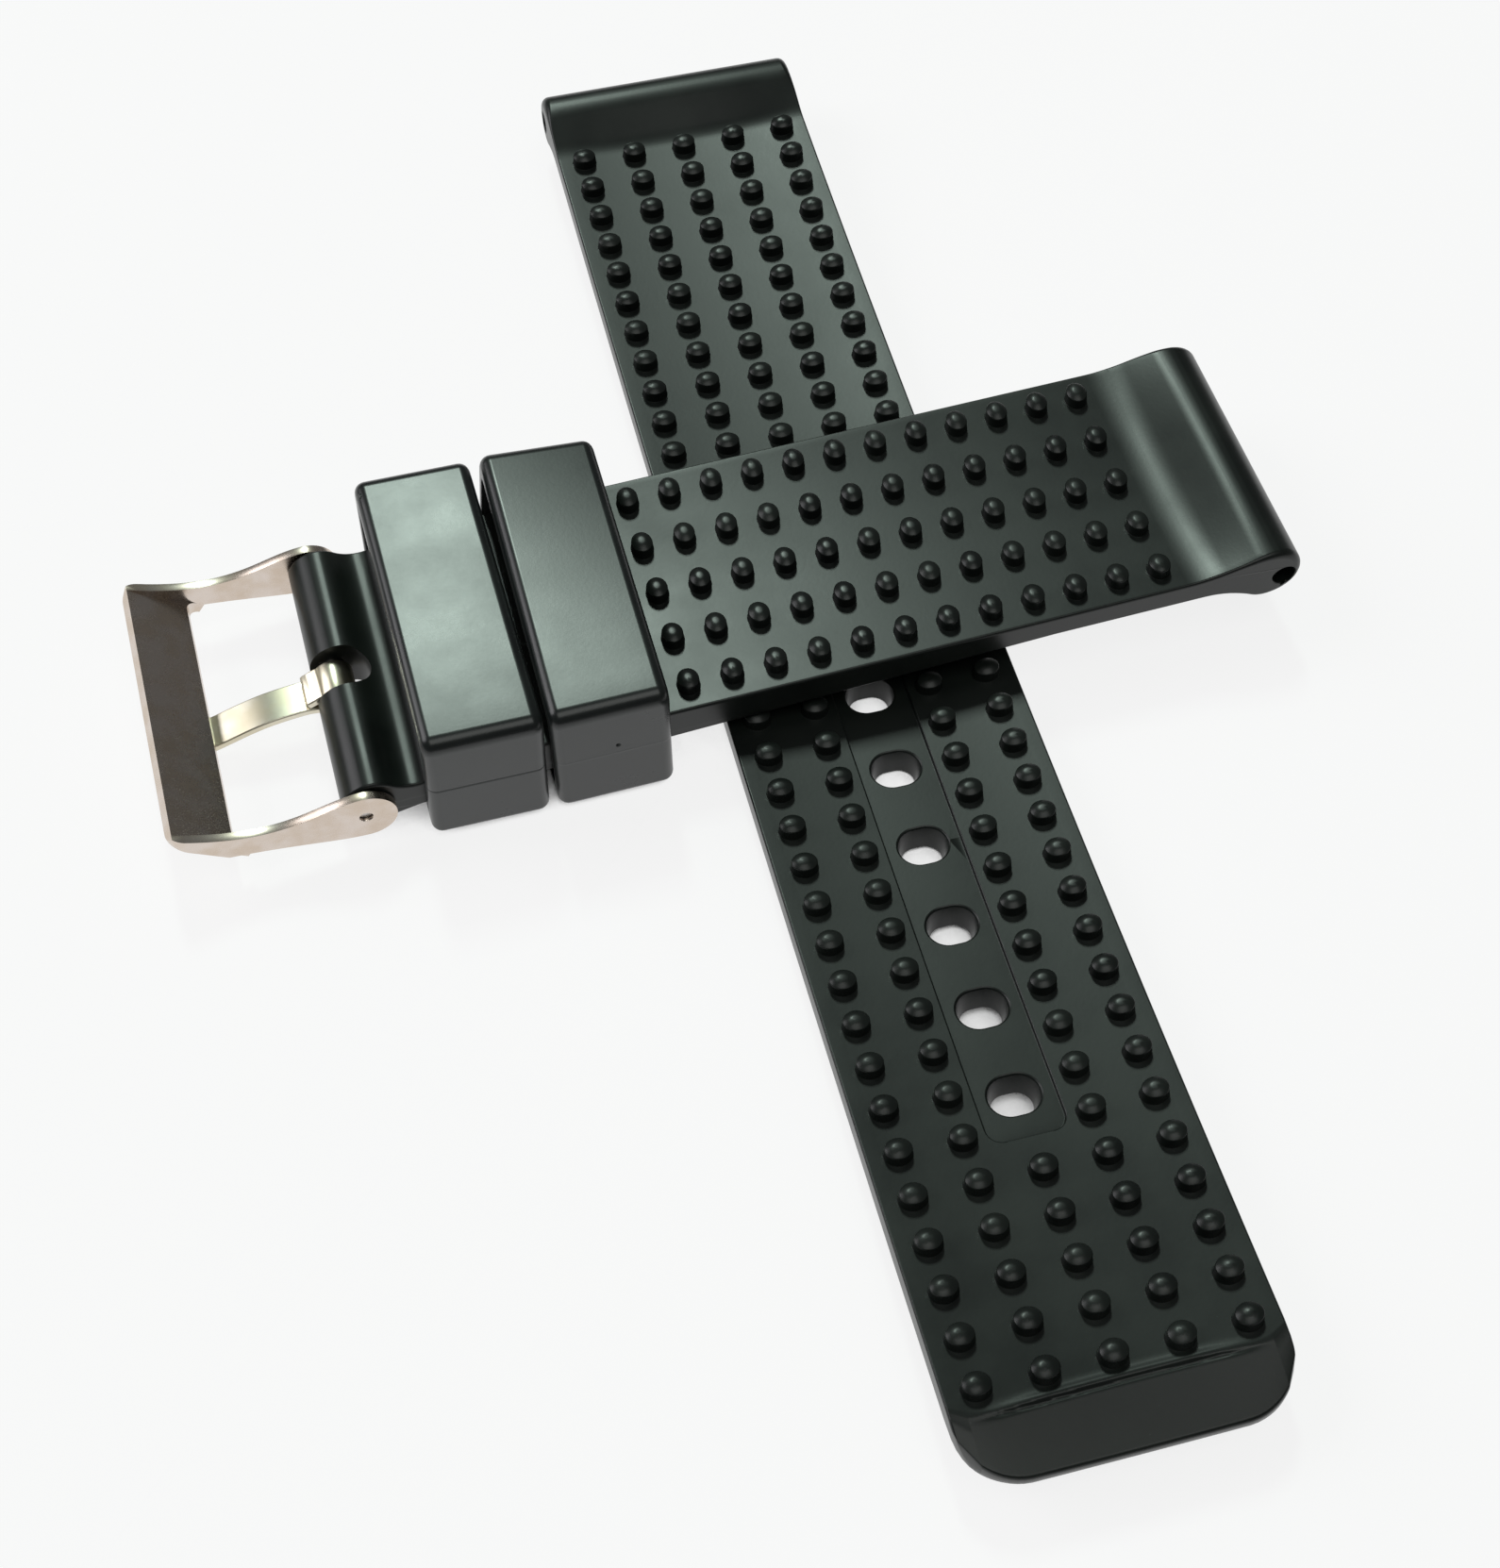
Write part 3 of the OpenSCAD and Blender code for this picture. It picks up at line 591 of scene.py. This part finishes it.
def buckleOutline():  # with the radius of its edge at each point
    roll, valley = rollMiddle(), valleyPlace()
    rollRadius, valleyRadius = buckleHalf["barRadius"], buckleHalf["valleyRadius"]
    end = lugOutline(buckleHalf)
    belowCorner = (valley[0], underLevel(valley[0]))
    apart = Vector(belowCorner) - Vector(roll)
    touchAngle = math.degrees(math.atan2(apart.y, apart.x) - math.acos(rollRadius / apart.length))
    joinAngle = math.degrees(math.atan2(valley[1] - roll[1], valley[0] - roll[0]))
    valleyEnd = (valley[0] + math.sqrt(valleyRadius ** 2 - valley[1] ** 2), 0)
    endAngle = math.degrees(math.atan2(valleyEnd[1] - valley[1], valleyEnd[0] - valley[0]))
    shoulder = rounded(turned(endAngle - buckleHalf["shoulderTurn"], valleyRadius, valley),
                       valleyEnd, (valleyEnd[0] + meshing["beyond"], 0), buckleHalf["shoulder"])
    steps = buckleHalf["steps"]
    outline = arc(roll, rollRadius, joinAngle, touchAngle + 360, steps["roll"])
    thinCorner = (buckleHalf["thinFrom"], -buckleHalf["thin"])
    outline += rounded(outline[-1], belowCorner, thinCorner, buckleHalf["underBend"])
    outline += line(outline[-1], thinCorner, steps["under"])[1:]
    outline += line(thinCorner, end[0], steps["thin"]) + end
    outline += line(end[-1], shoulder[-1], steps["face"])[1:] + shoulder[::-1]
    hollow = arc(valley, valleyRadius, endAngle - buckleHalf["valleyTrim"], joinAngle - 180,
                 steps["valley"])
    outline = tidied(outline + hollow[:-1])
    edges = []
    for u, w in outline:
        above = w > -0.5 * buckleHalf["thin"]
        edges.append(edgeNearLug(buckleHalf, buckleHalf["topEdge" if above else "lowEdge"], u))
    return outline, edges


def makeBuckleStrap(material):
    half = buckleHalf["width"] / 2
    outline, edges = buckleOutline()
    steps = buckleHalf["steps"]
    rows = rowsAcross(outline, half, edges, steps["edge"], steps["across"])
    strap = solid("buckle_half", [[onBuckleFace(*point) for point in row] for row in rows])

    slotHalf = (buckleHalf["slotEnd"] + buckleHalf["slotOut"]) / 2
    slotMiddle = buckleHalf["slotEnd"] - slotHalf
    slotWidth = buckleHalf["slotWidth"] / 2
    slot = cutter("slotCutter", buckleHalf["slotLevels"],
                  lambda grow: stadium(slotHalf + grow, slotWidth, slotWidth, 0, steps=10, runs=8),
                  lambda along, v, w: onBuckleHalf(slotMiddle + along, v, w))
    combine(strap, [slot], "DIFFERENCE")

    def besideSlot(point):
        away = point - barMiddle
        beside = abs(away.dot(barAcross)) < slotWidth + buckleHalf["slotRimBeside"]
        return beside and away.dot(barAlong) < buckleHalf["slotRimAlong"]
    softenEdges(strap, besideSlot, buckleHalf["slotRim"])
    lugBore = onBuckleHalf(buckleHalf["length"], 0, -buckleHalf["boreDepth"])
    tools = [boreCutter("barBoreCutter", barMiddle, barAcross, barUp,
                        buckleHalf["barBoreRadius"], half, buckleHalf["barBoreRim"]),
             boreCutter("lugBoreCutter", lugBore, barAcross, barUp,
                        buckleHalf["boreRadius"], half, lug["boreRim"])]
    combine(strap, tools, "DIFFERENCE")

    studs = Skin()
    for row in range(buckleHalf["rows"]):
        for v in studColumns():
            addStud(studs, v, buckleHalf["firstRow"] - row * stud["step"], onBuckleFace)
    addTo(strap, studs)
    finishPiece(strap, material, "buckle_half", "buckle_strap", level=barUp)


# Keepers: moulded loops, each hanging on the buckle half and leaning a little

keeper = {"length": 7.9, "height": 9.9, "wall": 1.4, "side": 1.3, "play": 0.2,
          "corner": 1.0, "lowCornerShare": 0.5, "innerCorner": 0.5, "edge": 0.75, "innerEdge": 0.3,
          "seamWidth": 0.09, "seamRows": (-1.8, -1, -0.5, 0, 0.5, 1, 1.8),
          "steps": {"corner": 6, "flat": 12, "edge": 6, "innerEdge": 4, "mark": 10},
          "pit": {"along": 0.3, "up": 0.8, "ends": ((-0.2, 0.238), (0.25, 0.136))},  # depth, radius
          "flash": {"fromEnd": 0.35, "fromSide": 1.6, "squash": 0.6, "top": -0.06,
                    "rings": ((0.34, -0.25), (0.3, -0.16), (0.2, -0.1), (0.08, -0.07))}}
keeperPlaces = {
    "first_keeper": {"fromBar": 8.1, "hang": 0.7, "lean": 2.7, "twist": 0.0, "seam": -0.06},
    "second_keeper": {"fromBar": 16.45, "hang": 1.32, "lean": 3.6, "twist": 2.8, "seam": 0.01},
}


def keeperRing(halfWide, halfHigh, corner):  # a rounded rectangle of the same count at any size
    ring, steps = [], keeper["steps"]
    for side, (signV, signW) in enumerate(((1, -1), (1, 1), (-1, 1), (-1, -1))):
        radius = corner if signW > 0 else corner * keeper["lowCornerShare"]
        middle = (signV * (halfWide - radius), signW * (halfHigh - radius))
        ring += arc(middle, radius, 90 * side - 90, 90 * side, steps["corner"])
        if side in (0, 2):  # up or down a side wall, with the seam at its middle
            way = 1 - side
            for share in keeper["seamRows"]:
                ring.append((signV * halfWide, way * share * keeper["seamWidth"]))
        else:
            flat, count = signV * (halfWide - radius), steps["flat"]
            ring += [(flat * (1 - 2 * i / count), signW * halfHigh) for i in range(1, count)]
    return ring


def keeperSection():  # (place along, depth below the outer face, height above the inner face)
    halfLong, edge, innerEdge = keeper["length"] / 2, keeper["edge"], keeper["innerEdge"]
    outer = arc((halfLong - edge, edge), edge, -90, 0, keeper["steps"]["edge"])
    inner = arc((halfLong - innerEdge, innerEdge), innerEdge, 0, 90, keeper["steps"]["innerEdge"])
    section = [(a, b, None) for a, b in outer]
    section += [(a, None, innerEdge - (b - innerEdge)) for a, b in inner]
    return section + [(-a, depth, height) for a, depth, height in reversed(section)]


def makeKeeper(name, material):
    spot = keeperPlaces[name]
    halfWide = buckleHalf["width"] / 2 + keeper["play"] + keeper["side"]
    halfHigh = keeper["height"] / 2
    outer = keeperRing(halfWide, halfHigh, keeper["corner"])
    inner = keeperRing(halfWide - keeper["side"], halfHigh - keeper["wall"], keeper["innerCorner"])
    middleW = underLevel(spot["fromBar"]) - spot["hang"] - keeper["wall"] + halfHigh

    def place(u, v, w):
        lean = math.radians(spot["lean"] + spot["twist"] * v / halfWide)
        return onBuckleHalf(spot["fromBar"] + u * math.cos(lean) + w * math.sin(lean), v,
                            middleW + w * math.cos(lean) - u * math.sin(lean))
    rows, section = [], keeperSection()
    for (outV, outW), (inV, inW) in zip(outer, inner):
        out, within = Vector((outV, outW)), Vector((inV, inW))
        outward = (out - within) / (out - within).length
        swell = 0
        if abs(outV) > halfWide - meshing["near"]:
            swell = spot["seam"] * math.exp(-(outW / keeper["seamWidth"]) ** 2)
        row = []
        for a, depth, height in section:
            at = out - outward * (depth - swell) if height is None else within + outward * height
            row.append(place(a, at.x, at.y))
        rows.append(row)
    skin = Skin()
    skin.loops(rows + [rows[0]], caps=False)
    loop = skin.build(name + "_loop")
    if name == "first_keeper":
        addTo(loop, flashNub(place, halfWide, halfHigh))
    else:
        combine(loop, [sidePit(place, halfWide)], "DIFFERENCE")
    finishPiece(loop, material, name, name)


def markRing(radius):  # round the pit and the scrap
    steps = keeper["steps"]["mark"]
    return [turned(360 / steps * i, radius) for i in range(steps)]


def sidePit(place, halfWide):  # a little pit in the near side
    pit = keeper["pit"]
    return solid("sidePit", [[place(pit["along"] + a, depth - halfWide, pit["up"] + b)
                              for a, b in markRing(radius)] for depth, radius in pit["ends"]])


def flashNub(place, halfWide, halfHigh):  # a scrap left by the mould at the top face's edge
    flash = keeper["flash"]
    u, v = flash["fromEnd"] - keeper["length"] / 2, halfWide - flash["fromSide"]
    rows = [[place(u + a * flash["squash"], v + b, halfHigh + height) for a, b in markRing(radius)]
            for radius, height in flash["rings"]]
    skin = Skin()
    skin.dome(rows, place(u, v, halfHigh + flash["top"]))
    return skin


# Buckle frame, in the plane across the bar

buckle = {"armInside": 10.15, "armThick": 0.6, "earRadius": 2.05, "reach": 8.6, "drop": 0.1,
          "barWidth": 4.3, "barThick": 0.8, "slope": 36.5, "corner": 1.2, "window": 0.7,
          "tipHole": 0.42, "tipHoleRim": 0.05, "edge": 0.12,
          "topBend": ((0.7, 1), (1.25, -0.4)), "lowBend": ((1.12, 1.5), (0.5, -1)),
          "overlap": 0.3, "flatArea": 2.0,
          "cut": {"armOut": 0.6, "reach": 4.0, "high": 6.0, "play": 0.002},
          "steps": {"window": 7, "corner": 9, "ear": 40, "top": 28, "low": 24}}


def crossBar():  # its section's corners: near, far, far below and near below
    slope = math.radians(buckle["slope"])
    along = Vector((-math.cos(slope), math.sin(slope)))
    down = Vector((-along.y, along.x)) * buckle["barThick"]
    near = Vector((-buckle["reach"], -buckle["drop"]))
    far = near + along * buckle["barWidth"]
    return near, far, far + down, near + down


def prism(name, outline, low, high):
    return solid(name, [[atBar(a, v, b) for a, b in outline] for v in (low, high)])


def windowBlock(name, end, half, corner, steps):  # open towards the bar, with two round corners
    reach, high = buckle["cut"]["reach"], buckle["cut"]["high"]
    plan = arc((end + corner, half - corner), corner, 90, 180, steps)
    plan += arc((end + corner, corner - half), corner, 180, 270, steps)
    plan += [(reach, -half), (reach, half)]
    return solid(name, [[atBar(u, v, w) for u, v in plan] for w in (-high, high)])


def armOutline(far, farLow, nearLow):
    ear, waist, steps = buckle["earRadius"], -buckle["reach"] / 2, buckle["steps"]
    (topU, topW), (overU, overW) = buckle["topBend"]
    (underU, underW), (lowU, lowW) = buckle["lowBend"]
    front = arc((0, 0), ear, -90, 90, steps["ear"])
    top = curve((0, ear), (topU * waist, topW * ear), (overU * waist, overW * ear), tuple(far),
                steps["top"])
    bottom = curve(tuple(nearLow), (underU * waist, underW * nearLow.y),
                   (lowU * waist, lowW * ear), (0, -ear), steps["low"])
    return tidied(front + top + [tuple(farLow)] + bottom)


def makeFrame(material):
    near, far, farLow, nearLow = crossBar()
    inside, outside = buckle["armInside"], buckle["armInside"] + buckle["armThick"]
    outline = armOutline(far, farLow, nearLow)
    past, steps = outside + buckle["cut"]["armOut"], buckle["steps"]
    body = prism("buckle_frame_body", outline, inside, past)
    back = (far - near).normalized() * 2 * buckle["window"]
    wide = [tuple(p) for p in (near - back, far, farLow, nearLow - back)]
    plate = prism("crossBar", wide, -inside - buckle["overlap"], inside + buckle["overlap"])
    window = windowBlock("window", near.x, inside, buckle["window"], steps["window"])
    combine(plate, [window], "DIFFERENCE")
    combine(body, [prism("otherArm", outline, -past, -inside), plate], "UNION")
    block = windowBlock("frameOutline", farLow.x - buckle["cut"]["play"], outside,
                        buckle["corner"], steps["corner"])
    combine(body, [block], "INTERSECT")
    softenEdges(body, lambda point: True, buckle["edge"])
    hole = boreCutter("tipHoleCutter", barMiddle, barAcross, barUp, buckle["tipHole"], outside,
                      buckle["tipHoleRim"])
    combine(body, [hole], "DIFFERENCE")
    finishPiece(body, material, "frame", "buckle_frame",
                flatArea=buckle["flatArea"])


# Tongue: a strip curled round the bar

tongue = {"width": 2.5, "thick": 0.55, "eyeRadius": 0.8, "length": 11.6, "edge": 0.12,
          "loopEnd": ((-2.12, 0.2), (-1.75, 0.28), (-1.4, 0.5)), "eyeFrom": 142, "eyeTo": -118,
          "leaves": (-0.5, 0.26), "lands": ((-1.6, -0.35), (-2.5, -0.35)),
          "knee": ((-4.2, -0.35), (-4.9, -0.43), (-5.9, -0.65)),
          "droop": ((-7.2, -0.943), (-8.6, -1.443), (-9.376, -1.493)),
          "turn": (-0.5, 0.02), "tipHandle": (0.9, -0.3), "tipFlatter": 17,
          "tipLength": 1.1, "tipNarrows": 0.22, "tipThins": 0.12, "askew": 0.06,
          "askewBelow": 0.5, "endSqueeze": 0.06,
          "steps": {"loopEnd": 6, "eye": 34, "lands": 8, "knee": 8, "droop": 10, "tip": 8,
                    "edge": 3}}


def shifted(point, by):
    return (point[0] + by[0], point[1] + by[1])


def tonguePath():  # along the middle of the strip, from the loop's end to the tip
    eye = tongue["eyeRadius"] + tongue["thick"] / 2
    eyeFrom, eyeTo, steps = tongue["eyeFrom"], tongue["eyeTo"], tongue["steps"]
    path = curve(*tongue["loopEnd"], turned(eyeFrom, eye), steps["loopEnd"])[:-1]
    path += arc((0, 0), eye, eyeFrom, eyeTo, steps["eye"])
    leaving = shifted(path[-1], tongue["leaves"])
    path += curve(path[-1], leaving, *tongue["lands"], steps["lands"])[1:]
    for name in ("knee", "droop"):
        path += curve(path[-1], *tongue[name], steps[name])[1:]
    turn = path[-1]
    tipU = tongue["thick"] / 2 - tongue["length"]
    slope = math.radians(buckle["slope"] - tongue["tipFlatter"])
    tip = (tipU, turn[1] + (turn[0] - tipU) * math.tan(slope))
    handles = shifted(turn, tongue["turn"]), shifted(tip, tongue["tipHandle"])
    return path + curve(turn, *handles, tip, steps["tip"])[1:]


def makeTongue(material):
    path = tonguePath()
    tipU = path[-1][0]
    rows = []
    last = len(path) - 1
    for i, (u, w) in enumerate(path):
        before, after = Vector(path[max(0, i - 1)]), Vector(path[min(last, i + 1)])
        way = (after - before).normalized()
        normal = Vector((-way.y, way.x))
        left = max(0, 1 - (u - tipU) / tongue["tipLength"])  # from 1 at the tip to 0
        wide = tongue["width"] / 2 * (1 - tongue["tipNarrows"] * left * left)
        thick = tongue["thick"] / 2 * (1 - tongue["tipThins"] * left)
        edge = tongue["edge"]
        radius = edge - tongue["endSqueeze"] if i in (0, last) else edge
        ring = []
        for signV, signN, start in ((1, 1, 0), (-1, 1, 90), (-1, -1, 180), (1, -1, 270)):
            middle = (signV * (wide - edge), signN * (thick - edge))
            ring += arc(middle, radius, start, start + 90, tongue["steps"]["edge"])
        aside = 0
        if w < tongue["askewBelow"]:  # the strip points a little to the near arm
            aside = tongue["askew"] * min(0, u + tongue["eyeRadius"])
        rows.append([atBar(u + normal.x * n, v + aside, w + normal.y * n) for v, n in ring])
    strip = solid("buckle_tongue_strip", rows)
    finishPiece(strip, material, "tongue", "buckle_tongue")


# Materials

class Wire:  # an output socket to reckon with
    def __init__(self, tree, socket=None):
        self.tree = tree
        self.socket = socket

    def make(self, kind, settings, sockets, output=0):  # any node, its settings set first
        node = self.tree.nodes.new(kind)
        for key, value in settings.items():
            setattr(node, key, value)
        for key, value in sockets.items():
            socket = node.inputs[key]
            if isinstance(value, Wire):
                self.tree.links.new(value.socket, socket)
            elif socket.type == "RGBA":
                socket.default_value = (*value, 1)
            else:
                socket.default_value = value
        return Wire(self.tree, node.outputs[output]) if node.outputs else None

    def also(self, output):  # another output of the same node
        return Wire(self.tree, self.socket.node.outputs[output])

    def reckon(self, operation, *values):
        return self.make("ShaderNodeMath", {"operation": operation}, dict(enumerate(values)))

    def __add__(self, other):
        return self.reckon("ADD", self, other)

    __radd__ = __add__

    def __sub__(self, other):
        return self.reckon("SUBTRACT", self, other)

    def __rsub__(self, other):
        return self.reckon("SUBTRACT", other, self)

    def __mul__(self, other):
        return self.reckon("MULTIPLY", self, other)

    __rmul__ = __mul__

    def clipped(self, low, high):  # 0 below low and 1 above high
        return self.make("ShaderNodeMapRange", {"interpolation_type": "SMOOTHSTEP"},
                         {"Value": self, "From Min": low, "From Max": high})

    def mixed(self, first, second):  # colours, by this share
        return self.make("ShaderNodeMix", {"data_type": "RGBA"}, {0: self, 6: first, 7: second}, 2)


def emptyNodes(owner):
    owner.use_nodes = True
    owner.node_tree.nodes.clear()
    return Wire(owner.node_tree)


def newMaterial(name):
    material = bpy.data.materials.new(name)
    return material, emptyNodes(material)


def bumped(wire, height, look):
    return wire.make("ShaderNodeBump", {}, {"Height": height, "Strength": look["bump"],
                                            "Distance": look["bumpHeight"]})


def surface(wire, settings):
    shader = wire.make("ShaderNodeBsdfPrincipled", {}, settings)
    wire.make("ShaderNodeOutputMaterial", {}, {"Surface": shader})


def inMillimetres(wire):
    place = wire.make("ShaderNodeTexCoord", {}, {}, "Object")
    return wire.make("ShaderNodeVectorMath", {"operation": "SCALE"},
                     {0: place, "Scale": 1 / millimetre})


def noise(wire, place, scale, detail, roughness=0.55):  # scale is in grains to a millimetre
    return wire.make("ShaderNodeTexNoise", {}, {"Vector": place, "Scale": scale, "Detail": detail,
                                                "Roughness": roughness}, "Fac")


rubberLooks = {
    "strap": {"dark": (0.006, 0.008, 0.007), "light": (0.010, 0.013, 0.011), "rough": 0.32,
              "sheen": 0.35, "paintedReflection": 0.0},
    # the keeper's sides get a painted reflection of the white floor as a lighter colour
    "keeper": {"dark": (0.006, 0.008, 0.008), "light": (0.010, 0.013, 0.012), "rough": 0.29,
               "sheen": 0.5, "paintedReflection": 0.7},
    "both": {"cloudy": (0.16, 4), "grain": (3.4, 4, 0.65), "fine": (9.0, 2, 0.6),  # noises
             "clouds": (0.35, 0.65), "cloudRough": 0.12, "grainRough": 0.02,
             "speckScale": 1.7, "speckSize": (0.03, 0.09), "speckGaps": (0.45, 0.6),
             "dustTone": (0.03, 0.04, 0.035), "dustShare": 0.55, "bump": 0.07,
             "bumpHeight": 0.00003, "paintedReflectionTone": (0.07, 0.074, 0.074), "paintedReflectionBelow": (0.1, 0.5)},
}


def rubber(name, look):
    material, wire = newMaterial(name)
    place, both = inMillimetres(wire), rubberLooks["both"]
    cloudy = noise(wire, place, *both["cloudy"])
    grain = noise(wire, place, *both["grain"])
    fine = noise(wire, place, *both["fine"])
    specks = wire.make("ShaderNodeTexVoronoi", {}, {"Vector": place, "Scale": both["speckScale"],
                                                    "Randomness": 1.0}, "Distance")
    dust = (1 - specks.clipped(*both["speckSize"])) * fine.clipped(*both["speckGaps"])
    tone = cloudy.clipped(*both["clouds"]).mixed(look["dark"], look["light"])
    facing = wire.make("ShaderNodeNewGeometry", {}, {}, "Normal")
    upward = wire.make("ShaderNodeSeparateXYZ", {}, {"Vector": facing}, "Z")
    paintedReflection = (1 - upward.clipped(*both["paintedReflectionBelow"])) * look["paintedReflection"]  # painted reflection: faces turned sideways get a lighter tone, standing in for the white floor mirrored in them
    colour = paintedReflection.mixed((dust * both["dustShare"]).mixed(tone, both["dustTone"]), both["paintedReflectionTone"])
    rough = look["rough"] + (cloudy - 0.5) * both["cloudRough"] + (grain - 0.5) * both["grainRough"]
    surface(wire, {"Base Color": colour, "Roughness": rough, "Normal": bumped(wire, grain, both),
                   "IOR": 1.5, "Specular IOR Level": look["sheen"]})
    return material


steelLooks = {
    "frame": {"tone": (0.70, 0.62, 0.56), "warm": (0.62, 0.52, 0.43), "rough": 0.27, "streak": 0.1},
    "tongue": {"tone": (0.72, 0.68, 0.56), "warm": (0.64, 0.58, 0.43), "rough": 0.3,
               "streak": 0.08},
    "bar": {"tone": (0.62, 0.60, 0.58), "warm": (0.50, 0.46, 0.42), "rough": 0.26, "streak": 0.16},
    "spring": {"tone": (0.55, 0.54, 0.53), "warm": (0.42, 0.40, 0.38), "rough": 0.3, "streak": 0.1},
    "all": {"cloudy": (0.5, 3), "streaks": (3.0, 4, 0.7), "fine": (14.0, 2),  # noises
            "clouds": (0.3, 0.7), "cloudRough": 0.1, "drawn": (0.7, 6.0, 6.0), "streakShare": 0.6,
            "bump": 0.25, "bumpHeight": 0.000004},
}


def steel(name, look):
    material, wire = newMaterial(name)
    place, every = inMillimetres(wire), steelLooks["all"]
    cloudy = noise(wire, place, *every["cloudy"])
    drawn = wire.make("ShaderNodeVectorMath", {"operation": "MULTIPLY"},
                      {0: place, 1: every["drawn"]})
    streaks = noise(wire, drawn, *every["streaks"])
    fine = noise(wire, place, *every["fine"])
    colour = cloudy.clipped(*every["clouds"]).mixed(look["tone"], look["warm"])
    rough = look["rough"] + (cloudy - 0.5) * every["cloudRough"] + (streaks - 0.5) * look["streak"]
    height = streaks * every["streakShare"] + fine * (1 - every["streakShare"])
    surface(wire, {"Base Color": colour, "Roughness": rough, "Metallic": 1.0,
                   "Normal": bumped(wire, height, every)})
    return material


# Floor, lights and camera

studio = {"floor": (0.93, 0.93, 0.93), "floorReach": 3.0, "shadowShare": 0.16,
          "contact": 0.004, "contactShade": (0.16, 0.31),  # how near and how dark a contact is
          "world": 0.11, "worldTone": (0.98, 0.99, 1.0), "white": (1, 1, 1), "aim": (0, 0, 3),
          "lamps": {  # place in mm, size in mm, strength in watts, colour
              "backLight": ((95, 1250, 1554), (170, 380), 11.3, (0.82, 1.0, 0.90)),
              "leftLight": ((-714, 380, 588), (600, 600), 3.8, (0.98, 0.97, 1.0)),
              "topLight": ((60, -260, 850), (520, 520), 1.5, (0.97, 1.0, 0.96)),
          }}


def makeFloor():
    material, wire = newMaterial("paleFloor")
    material.cycles.emission_sampling = "NONE"  # only rays that meet the floor see its glow
    seen = wire.make("ShaderNodeLightPath", {}, {}, "Is Camera Ray")
    matt = wire.make("ShaderNodeBsdfDiffuse", {}, {"Color": studio["floor"]})
    glow = wire.make("ShaderNodeEmission", {}, {"Color": studio["white"], "Strength": 1.0})
    clear = wire.make("ShaderNodeAmbientOcclusion", {"samples": 8},
                      {"Distance": studio["contact"]}, "AO").clipped(*studio["contactShade"])
    looking = (seen + seen.also("Is Glossy Ray")).clipped(0, 1)
    share = looking * (1 - studio["shadowShare"]) * clear
    mix = wire.make("ShaderNodeMixShader", {}, {0: share, 1: matt, 2: glow})
    wire.make("ShaderNodeOutputMaterial", {}, {"Surface": mix})
    mesh = bpy.data.meshes.new("floor")
    reach = studio["floorReach"]
    corners = [(-reach, -reach, 0), (reach, -reach, 0), (reach, reach, 0), (-reach, reach, 0)]
    mesh.from_pydata(corners, [], [(0, 1, 2, 3)])
    mesh.materials.append(material)
    linked("floor", mesh)


def makeWorld():
    world = bpy.data.worlds.new("studioWorld")
    bpy.context.scene.world = world
    wire = emptyNodes(world)
    seen = wire.make("ShaderNodeLightPath", {}, {}, "Is Camera Ray")
    light = wire.make("ShaderNodeBackground", {}, {"Color": studio["worldTone"],
                                                   "Strength": studio["world"]})
    white = wire.make("ShaderNodeBackground", {}, {"Color": studio["white"], "Strength": 1.0})
    mix = wire.make("ShaderNodeMixShader", {}, {0: seen, 1: light, 2: white})
    wire.make("ShaderNodeOutputWorld", {}, {"Surface": mix})


def makeLamps():
    for name, (place, size, strength, colour) in studio["lamps"].items():
        data = bpy.data.lights.new(name, "AREA")
        data.shape = "RECTANGLE"
        data.size, data.size_y = size[0] * millimetre, size[1] * millimetre
        data.energy = strength
        data.color = colour
        lamp = linked(name, data)
        lamp.location = Vector(place) * millimetre
        lamp.rotation_mode = "QUATERNION"
        way = Vector(studio["aim"]) - Vector(place)
        lamp.rotation_quaternion = way.to_track_quat("-Z", "Y")


view = {"place": (-22.38, -91.21, 130.43), "down": 56.42, "azimuth": 14.47, "sensor": 36,
        "focalPixels": 2478, "picture": (1590, 1662), "clip": (0.005, 20)}


def makeCamera():
    down, side = math.radians(view["down"]), math.radians(view["azimuth"])
    level = math.cos(down)
    forward = Vector((math.sin(side) * level, math.cos(side) * level, -math.sin(down)))
    right = forward.cross(Vector((0, 0, 1))).normalized()
    upward = right.cross(forward)
    data = bpy.data.cameras.new("camera")
    data.sensor_width = view["sensor"]
    data.lens = view["focalPixels"] / max(view["picture"]) * data.sensor_width
    data.clip_start, data.clip_end = view["clip"]
    camera = linked("camera", data)
    camera.location = Vector(view["place"]) * millimetre
    camera.rotation_mode = "QUATERNION"
    camera.rotation_quaternion = Matrix((right, upward, -forward)).transposed().to_quaternion()
    bpy.context.scene.camera = camera


def dressBar(barMaterial, springMaterial):  # the spring bar's own solids keep their shape
    for node in ("bar_tube", "bar_tip_near", "bar_tip_far", "bar_spring"):
        material = springMaterial if node == "bar_spring" else barMaterial
        slots = frame["nodes"][node].data.materials
        slots.clear()
        slots.append(material)


bpy.context.scene.view_settings.view_transform = "Standard"
makeCamera()
makeFloor()
makeWorld()
makeLamps()
print("stage ready")
strapRubber = rubber("strapRubber", rubberLooks["strap"])
keeperRubber = rubber("keeperRubber", rubberLooks["keeper"])
makeHoleStrap(strapRubber)
makeBuckleStrap(strapRubber)
for keeperName in keeperPlaces:
    makeKeeper(keeperName, keeperRubber)
makeFrame(steel("frameSteel", steelLooks["frame"]))
makeTongue(steel("tongueSteel", steelLooks["tongue"]))
dressBar(steel("barSteel", steelLooks["bar"]), steel("springSteel", steelLooks["spring"]))
print("all pieces made")
